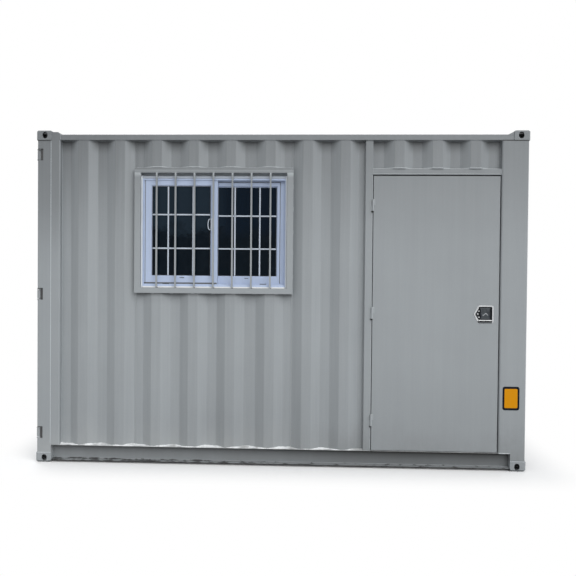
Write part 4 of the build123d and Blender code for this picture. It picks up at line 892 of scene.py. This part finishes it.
# A bowed pull on the meeting stile, with its base and two screws.
PULL_POINTS, PULL_REACH, PULL_HALF = 25, 0.018, 0.04
pull = Shape()
x, y, z = panes[0][1].x, left_low.y, left_low.z + 0.462
path = []
for index in range(PULL_POINTS):
    angle = math.pi * (index / (PULL_POINTS - 1) - 0.5)
    out = max(math.cos(angle), 0.0) ** 0.6
    path.append((x + 0.001 - PULL_REACH * out, y - 0.0035 - 0.0015 * out, z + PULL_HALF * math.sin(angle)))
pull.rod([Vector(place) for place in path], [0.0034] * PULL_POINTS)
pull.pad((x + 0.013, y, z), FRONT, 0.02, 0.094, 0.006, 0.0025, 0.0008)
for rise in (-0.036, 0.036):
    pull.dome((x + 0.014, y - 0.0025, z + rise), FRONT, 0.0035, 0.0015)
pull.finish("window_pull_handle", bar_plastic, "window_plastic")

# The guard: spots at its rods, dark at their feet as painted shade, beads over its mitres, stitches behind
# it.
GUARD_WIDTH = 0.046
welds, shaded_foot_welds = Shape(3), Shape(4)
low, high = box("window_guard_frame")
y = low.y + 0.0016
for rod_low, rod_high in rods:
    x = (rod_low.x + rod_high.x) / 2
    welds.blob((x - 0.005, y, rod_head + 0.005), FRONT, 0.0075, 0.0015)
    welds.blob((x + 0.006, y, rod_head + 0.002), FRONT, 0.0065, 0.0014)
    shaded_foot_welds.blob((x - 0.002, y, rod_foot - 0.005), FRONT, 0.0085, 0.0015)
    shaded_foot_welds.blob((x + 0.004, y, rod_foot + 0.001), FRONT, 0.007, 0.0014)
shaded_foot_welds.finish("guard_shaded_foot_welds", seam_and_shade_dark)
for inner_x, outer_x in ((low.x + GUARD_WIDTH, low.x), (high.x - GUARD_WIDTH, high.x)):
    for inner_z, outer_z in ((rod_foot, low.z), (rod_head, high.z)):
        y = low.y + 0.0012
        welds.bead((inner_x, y, inner_z), (outer_x, y, outer_z), radius=0.0018, step=0.003)
for x in (low.x, high.x):
    welds.stitches((x, high.y, low.z + 0.05), (x, high.y, high.z - 0.05), 5)
for z in (low.z, high.z):
    welds.stitches((low.x + 0.05, high.y, z), (high.x - 0.05, high.y, z), 7)
welds.finish("window_guard_welds", weld_paint)

# ---------- welds and seams of the steel body
# The sheets' bent edges, along the rails.
welds = Shape(5)
for node in ("front_wall_left", "front_wall_under_window", "front_wall_right"):
    welds.bead(*sheet_edge(node, wall_low.z, FRONT), radius=0.0038)
for node in ("front_wall_left", "front_wall_over_window", "front_wall_right", "front_wall_over_door"):
    welds.bead(*sheet_edge(node, wall_high.z, FRONT), radius=0.0032)
for node, normal in (("back_wall", BACK), ("end_wall", RIGHT)):
    for z in (wall_low.z, wall_high.z):
        welds.bead(*sheet_edge(node, z, normal), radius=0.0036)
welds.finish("sheet_welds", weld_paint)

# Beads in pale paint as painted highlights on edges: over the door and window, on the castings, beside the
# posts.
HIGHLIGHT_FOOT = 0.14
welds = Shape(6)
for node in ("front_wall_over_door", "front_wall_over_window"):
    edge = [place + Vector((0, 0, 0.003)) for place in sheet_edge(node, box(node)[0].z, FRONT)]
    welds.bead(*edge, radius=0.005)
for y in (-post_high.y, post_high.y):
    welds.bead((rail_high.x, y, casting_top), (post_high.x, y, casting_top), radius=0.004)
    welds.bead((cargo_post_low.x, y, casting_top), (rail_low.x, y, casting_top), radius=0.004)
    welds.bead((post_low.x, y, wall_low.z), (rail_high.x, y, wall_low.z), radius=0.0042)
x = rail_low.x - 0.005
welds.bead((x, FACE, HIGHLIGHT_FOOT), (x, FACE, wall_high.z), radius=0.0026, step=0.007)
x, y, z = jamb_x - 0.0025, head_low.y, head_low.z
welds.bead((x, y, HIGHLIGHT_FOOT), (x, y, z), radius=0.0021, step=0.007)
welds.bead((jamb_x, y, z + 0.004), (post_low.x, y, z + 0.004), radius=0.0026)
welds.finish("highlight_welds", highlight_weld)

# Dust along the bottom rail's ledge, never past it.
drift = Shape(8)
for node, amount in (("front_wall_left", 1.0), ("front_wall_under_window", 0.9), ("front_wall_right", 0.6)):
    rings = []
    for place in walk(sheet_edge(node, wall_low.z, FRONT), 0.008):
        swell = 0.5 + 0.3 * math.sin(place.x * 22 + 1.0) + 0.2 * math.sin(place.x * 57 + 2.0)
        height = amount * (0.003 + 0.012 * swell + drift.random.uniform(-0.0015, 0.0015))
        depth = min(0.006 + 2.4 * height, place.y - rail_low.y - 0.0008)
        slope = ((-0.25 * depth, 0.75 * height), (-0.6 * depth, 0.35 * height))
        outline = ((0, -0.001), (0, height), *slope, (-depth, 0.0006), (-depth, -0.001))
        rings.append([place + Vector((0, y, z)) for y, z in outline])
    drift.skin(rings)
drift.finish("settled_dust", settled_dust("settled_dust"))

# The sheets' ends, upright, and the back wall's two joints.
welds = Shape(7)
for node, ends, normal in (
    ("front_wall_left", (0,), FRONT), ("front_wall_right", (-1,), FRONT),
    ("front_wall_over_door", (0, -1), FRONT), ("back_wall", (0, -1), BACK), ("end_wall", (0, -1), RIGHT),
):
    low, high = box(node)
    for end in ends:
        foot = sheet_edge(node, low.z, normal)[end]
        welds.bead(foot, (foot.x, foot.y, high.z), step=0.006)
low, high = box("back_wall")
bends = sheet_edge("back_wall", low.z, BACK)
for share in (0.36, 0.68):
    seam = min(bends, key=lambda place: abs(place.x - (low.x + share * (high.x - low.x))))
    welds.bead(seam, (seam.x, seam.y, high.z), radius=0.0022, step=0.006)
welds.finish("upright_welds", weld_paint)

# Where posts, rails, gussets and the door's head meet.
welds = Shape(9)
for side in (-1, 1):
    y = side * post_high.y
    for z in (casting_top, post_high.z):
        welds.bead((post_high.x, y, z), (post_high.x, y - side * CASTING_SIDE, z), radius=0.0034)
    for x in (rail_low.x, rail_high.x):
        welds.bead((x, y, rail_low.z), (x, y, casting_top), radius=0.0034)
    for x in (top_rail_low.x, top_rail_high.x):
        welds.bead((x, y, top_rail_low.z), (x, y, top_rail_high.z), radius=0.0034)
    for low, high in solids("top_corner_gussets"):
        if (low.y + high.y) * side > 0:
            welds.bead((low.x, y, top_rail_high.z), (high.x, y, top_rail_high.z), radius=0.0028)
for x in (jamb_x - 0.001, head_high.x):
    welds.bead((x, head_low.y, head_low.z), (x, head_low.y, head_high.z), radius=0.0024)
welds.finish("frame_welds", weld_paint)

# Round the roof sheet, between the castings.
welds = Shape(11)
low, high = box("roof_panel")
end_x, end_y, z = cad_box[1][0] - CASTING_SIDE - 0.003, high.y - 0.102, high.z - 0.001
for y in (-high.y, high.y):
    welds.bead((low.x, y, z), (end_x, y, z), step=0.006)
welds.bead((high.x, -end_y, z), (high.x, end_y, z), step=0.006)
welds.finish("roof_welds", weld_paint)

# Dark strips between the posts' heads and the castings: dark joints, and painted shade in the seams.
joints = Shape()
for low_x, high_x in ((post_low.x, post_high.x - 0.004), (cargo_post_low.x + 0.004, rail_low.x)):
    for side in (FRONT, BACK):
        place = ((low_x + high_x) / 2, side[1] * -FACE, post_high.z - 0.001)
        joints.pad(place, side, high_x - low_x, 0.007, 0.0034, 0.0012)
joints.finish("post_head_joints", seam_and_shade_dark, "seal_rubber")

# Dark strips in the cargo hinges' notches, upright and along the top, as painted shade.
NOTCH_HALF = 0.041
notch_shade = Shape()
for low, high in solids("cargo_door_hinges"):
    x, middle = low.x + 0.044, (low.z + high.z) / 2
    side = 1 if high.y > 0 else -1
    near, far = sorted((side * (max(high.y, -low.y) - 0.0015), side * (0.0016 - FACE)))
    foot, top = middle - NOTCH_HALF, middle + NOTCH_HALF
    notch_shade.bar((x - 0.011, near, foot), (x + 0.006, far, top + 0.005))
    notch_shade.bar((x - 0.034, near, top - 0.001), (x + 0.006, far, top + 0.006))
notch_shade.finish("hinge_notch_shade", seam_and_shade_dark, "seal_rubber")

# ---------- the entrance door's small parts
# Black domes under the hinges as painted shade, caps over them and a bead along each wing.
foot_shade, caps = Shape(), Shape()
for low, high in solids("entrance_hinge_frame_halves"):
    foot_shade.dome(((low.x + high.x) / 2 + 0.001, (low.y + high.y) / 2 + 0.001, low.z), DOWN, 0.0085, 0.012)
foot_shade.finish("hinge_foot_shade", rubber_black, "seal_rubber")
for low, high in solids("entrance_hinge_door_halves"):
    caps.dome(((low.x + high.x) / 2, (low.y + high.y) / 2 + 0.001, high.z), UP, 0.006, 0.0035)
caps.finish("hinge_head_caps", bright_metal, "galvanised_steel", "entrance_door")
for node, body, name in (
    ("entrance_hinge_frame_halves", "cabin", "hinge_frame_welds"),
    ("entrance_hinge_door_halves", "entrance_door", "hinge_door_welds"),
):
    welds = Shape(15)
    for low, high in solids(node):
        x = low.x + 0.001 if body == "cabin" else high.x - 0.001
        welds.bead((x, high.y, low.z + 0.002), (x, high.y, high.z - 0.002), radius=0.0022, step=0.003)
    welds.finish(name, weld_paint, "cabin_paint", body)

# The latch dish's three bright studs, and a lip to reach under, bright also as a painted highlight.
studs, lip = Shape(), Shape()
low, high = box("latch_dish")
for across, rise in ((0.038, 0.088), (0.03, 0.066), (0.039, 0.042)):
    place = (low.x + across, high.y - 0.0018, low.z + rise)
    studs.layers(place, FRONT, (0, circle(0.0048)), (0.0175, circle(0.0046)), (0.019, circle(0.003)))
studs.finish("latch_studs", polish_and_highlight, "latch_metal", "entrance_door")
lip.bar(low + Vector((0.03, 0.0005, 0.0165)), (high.x - 0.01, low.y + 0.008, low.z + 0.023), 0.0015)
lip.finish("latch_finger_lip", polish_and_highlight, "latch_metal", "entrance_door")

# ---------- the bare plate on the right post
PLATE_LEVEL = 0.5385
border, field = Shape(), Shape()
x = post_low.x + 0.0865
border.pad((x, FACE, PLATE_LEVEL), FRONT, 0.1225, 0.174, 0.016, 0.0011)
border.finish("post_plate_border", plate_black)
field.pad((x, FACE - 0.001, PLATE_LEVEL), FRONT, 0.094, 0.141, 0.007, 0.0007, 0.0003)
field.finish("post_plate_field", plate_orange)

# ---------- cargo doors
rivets = Shape()
for node in ("cargo_door_rod_guides", "cargo_door_keepers", "cargo_door_handle_catches"):
    for low, high in solids(node):
        centre, reach = (low + high) / 2, (high.y - low.y) / 2 - 0.009
        for side in (-1, 1):
            rivets.dome((high.x - 0.006, centre.y + side * reach, centre.z), LEFT, 0.006, 0.005)
x = box("cargo_door_front_leaf")[0].x - 0.0063
for low, high in solids("cargo_door_hinges"):
    inward = -1 if low.y > 0 else 1
    centre, reach = (low + high) / 2, (high.y - low.y) / 2
    for rise, back in ((-0.02, 0.016), (0.02, 0.036)):
        rivets.dome((x, centre.y + inward * (reach - back), centre.z + rise), LEFT, 0.007, 0.0045)
rivets.finish("cargo_door_rivets", bright_metal, "galvanised_steel")

# ---------- inside
# Screws in the floor boards, over each cross member.
screws = Shape()
floor_low, floor_high = box("floor_boards")
for member_low, member_high in solids("floor_cross_members"):
    x = (member_low.x + member_high.x) / 2
    for low, high in solids("floor_boards"):
        if low.x <= x <= high.x:
            for y in spaced(floor_low.y + 0.05, floor_high.y - 0.05, 0.22):
                if low.y < y < high.y:
                    screws.dome((x - 0.012, y, floor_high.z), UP, 0.005, 0.0009, 12)
screws.finish("floor_screws", bright_metal, "galvanised_steel")

# Strips with screws over the linings' joints.
SHEET, SCREW_PITCH, HALF, THICK = 1.22, 0.3, 0.015, 0.003
strips, screws = Shape(), Shape()
back, top = back_low.y, ceiling - 0.001
for x in spaced(back_low.x, back_high.x, SHEET)[:-1]:
    x += (back_high.x - back_low.x) / 6
    strips.bar((x - HALF, back - THICK, back_low.z + 0.001), (x + HALF, back, top))
    strips.bar((x - HALF, 0.001 - back, ceiling - THICK), (x + HALF, back - 0.004, ceiling))
    for z in spaced(back_low.z, ceiling, SCREW_PITCH):
        screws.dome((x, back - THICK, z), FRONT, 0.004, 0.0014, 12)
    for y in spaced(-back, back, SCREW_PITCH):
        screws.dome((x, y, ceiling - THICK), DOWN, 0.004, 0.0014, 12)
strips.bar((end_low.x - THICK, -HALF, end_low.z + 0.001), (end_low.x, HALF, top))
for z in spaced(end_low.z, ceiling, SCREW_PITCH):
    screws.dome((end_low.x - THICK, 0, z), LEFT, 0.004, 0.0014, 12)
strips.finish("lining_joint_strips", white_plastic, "window_plastic")
screws.finish("lining_screws", bright_metal, "galvanised_steel")
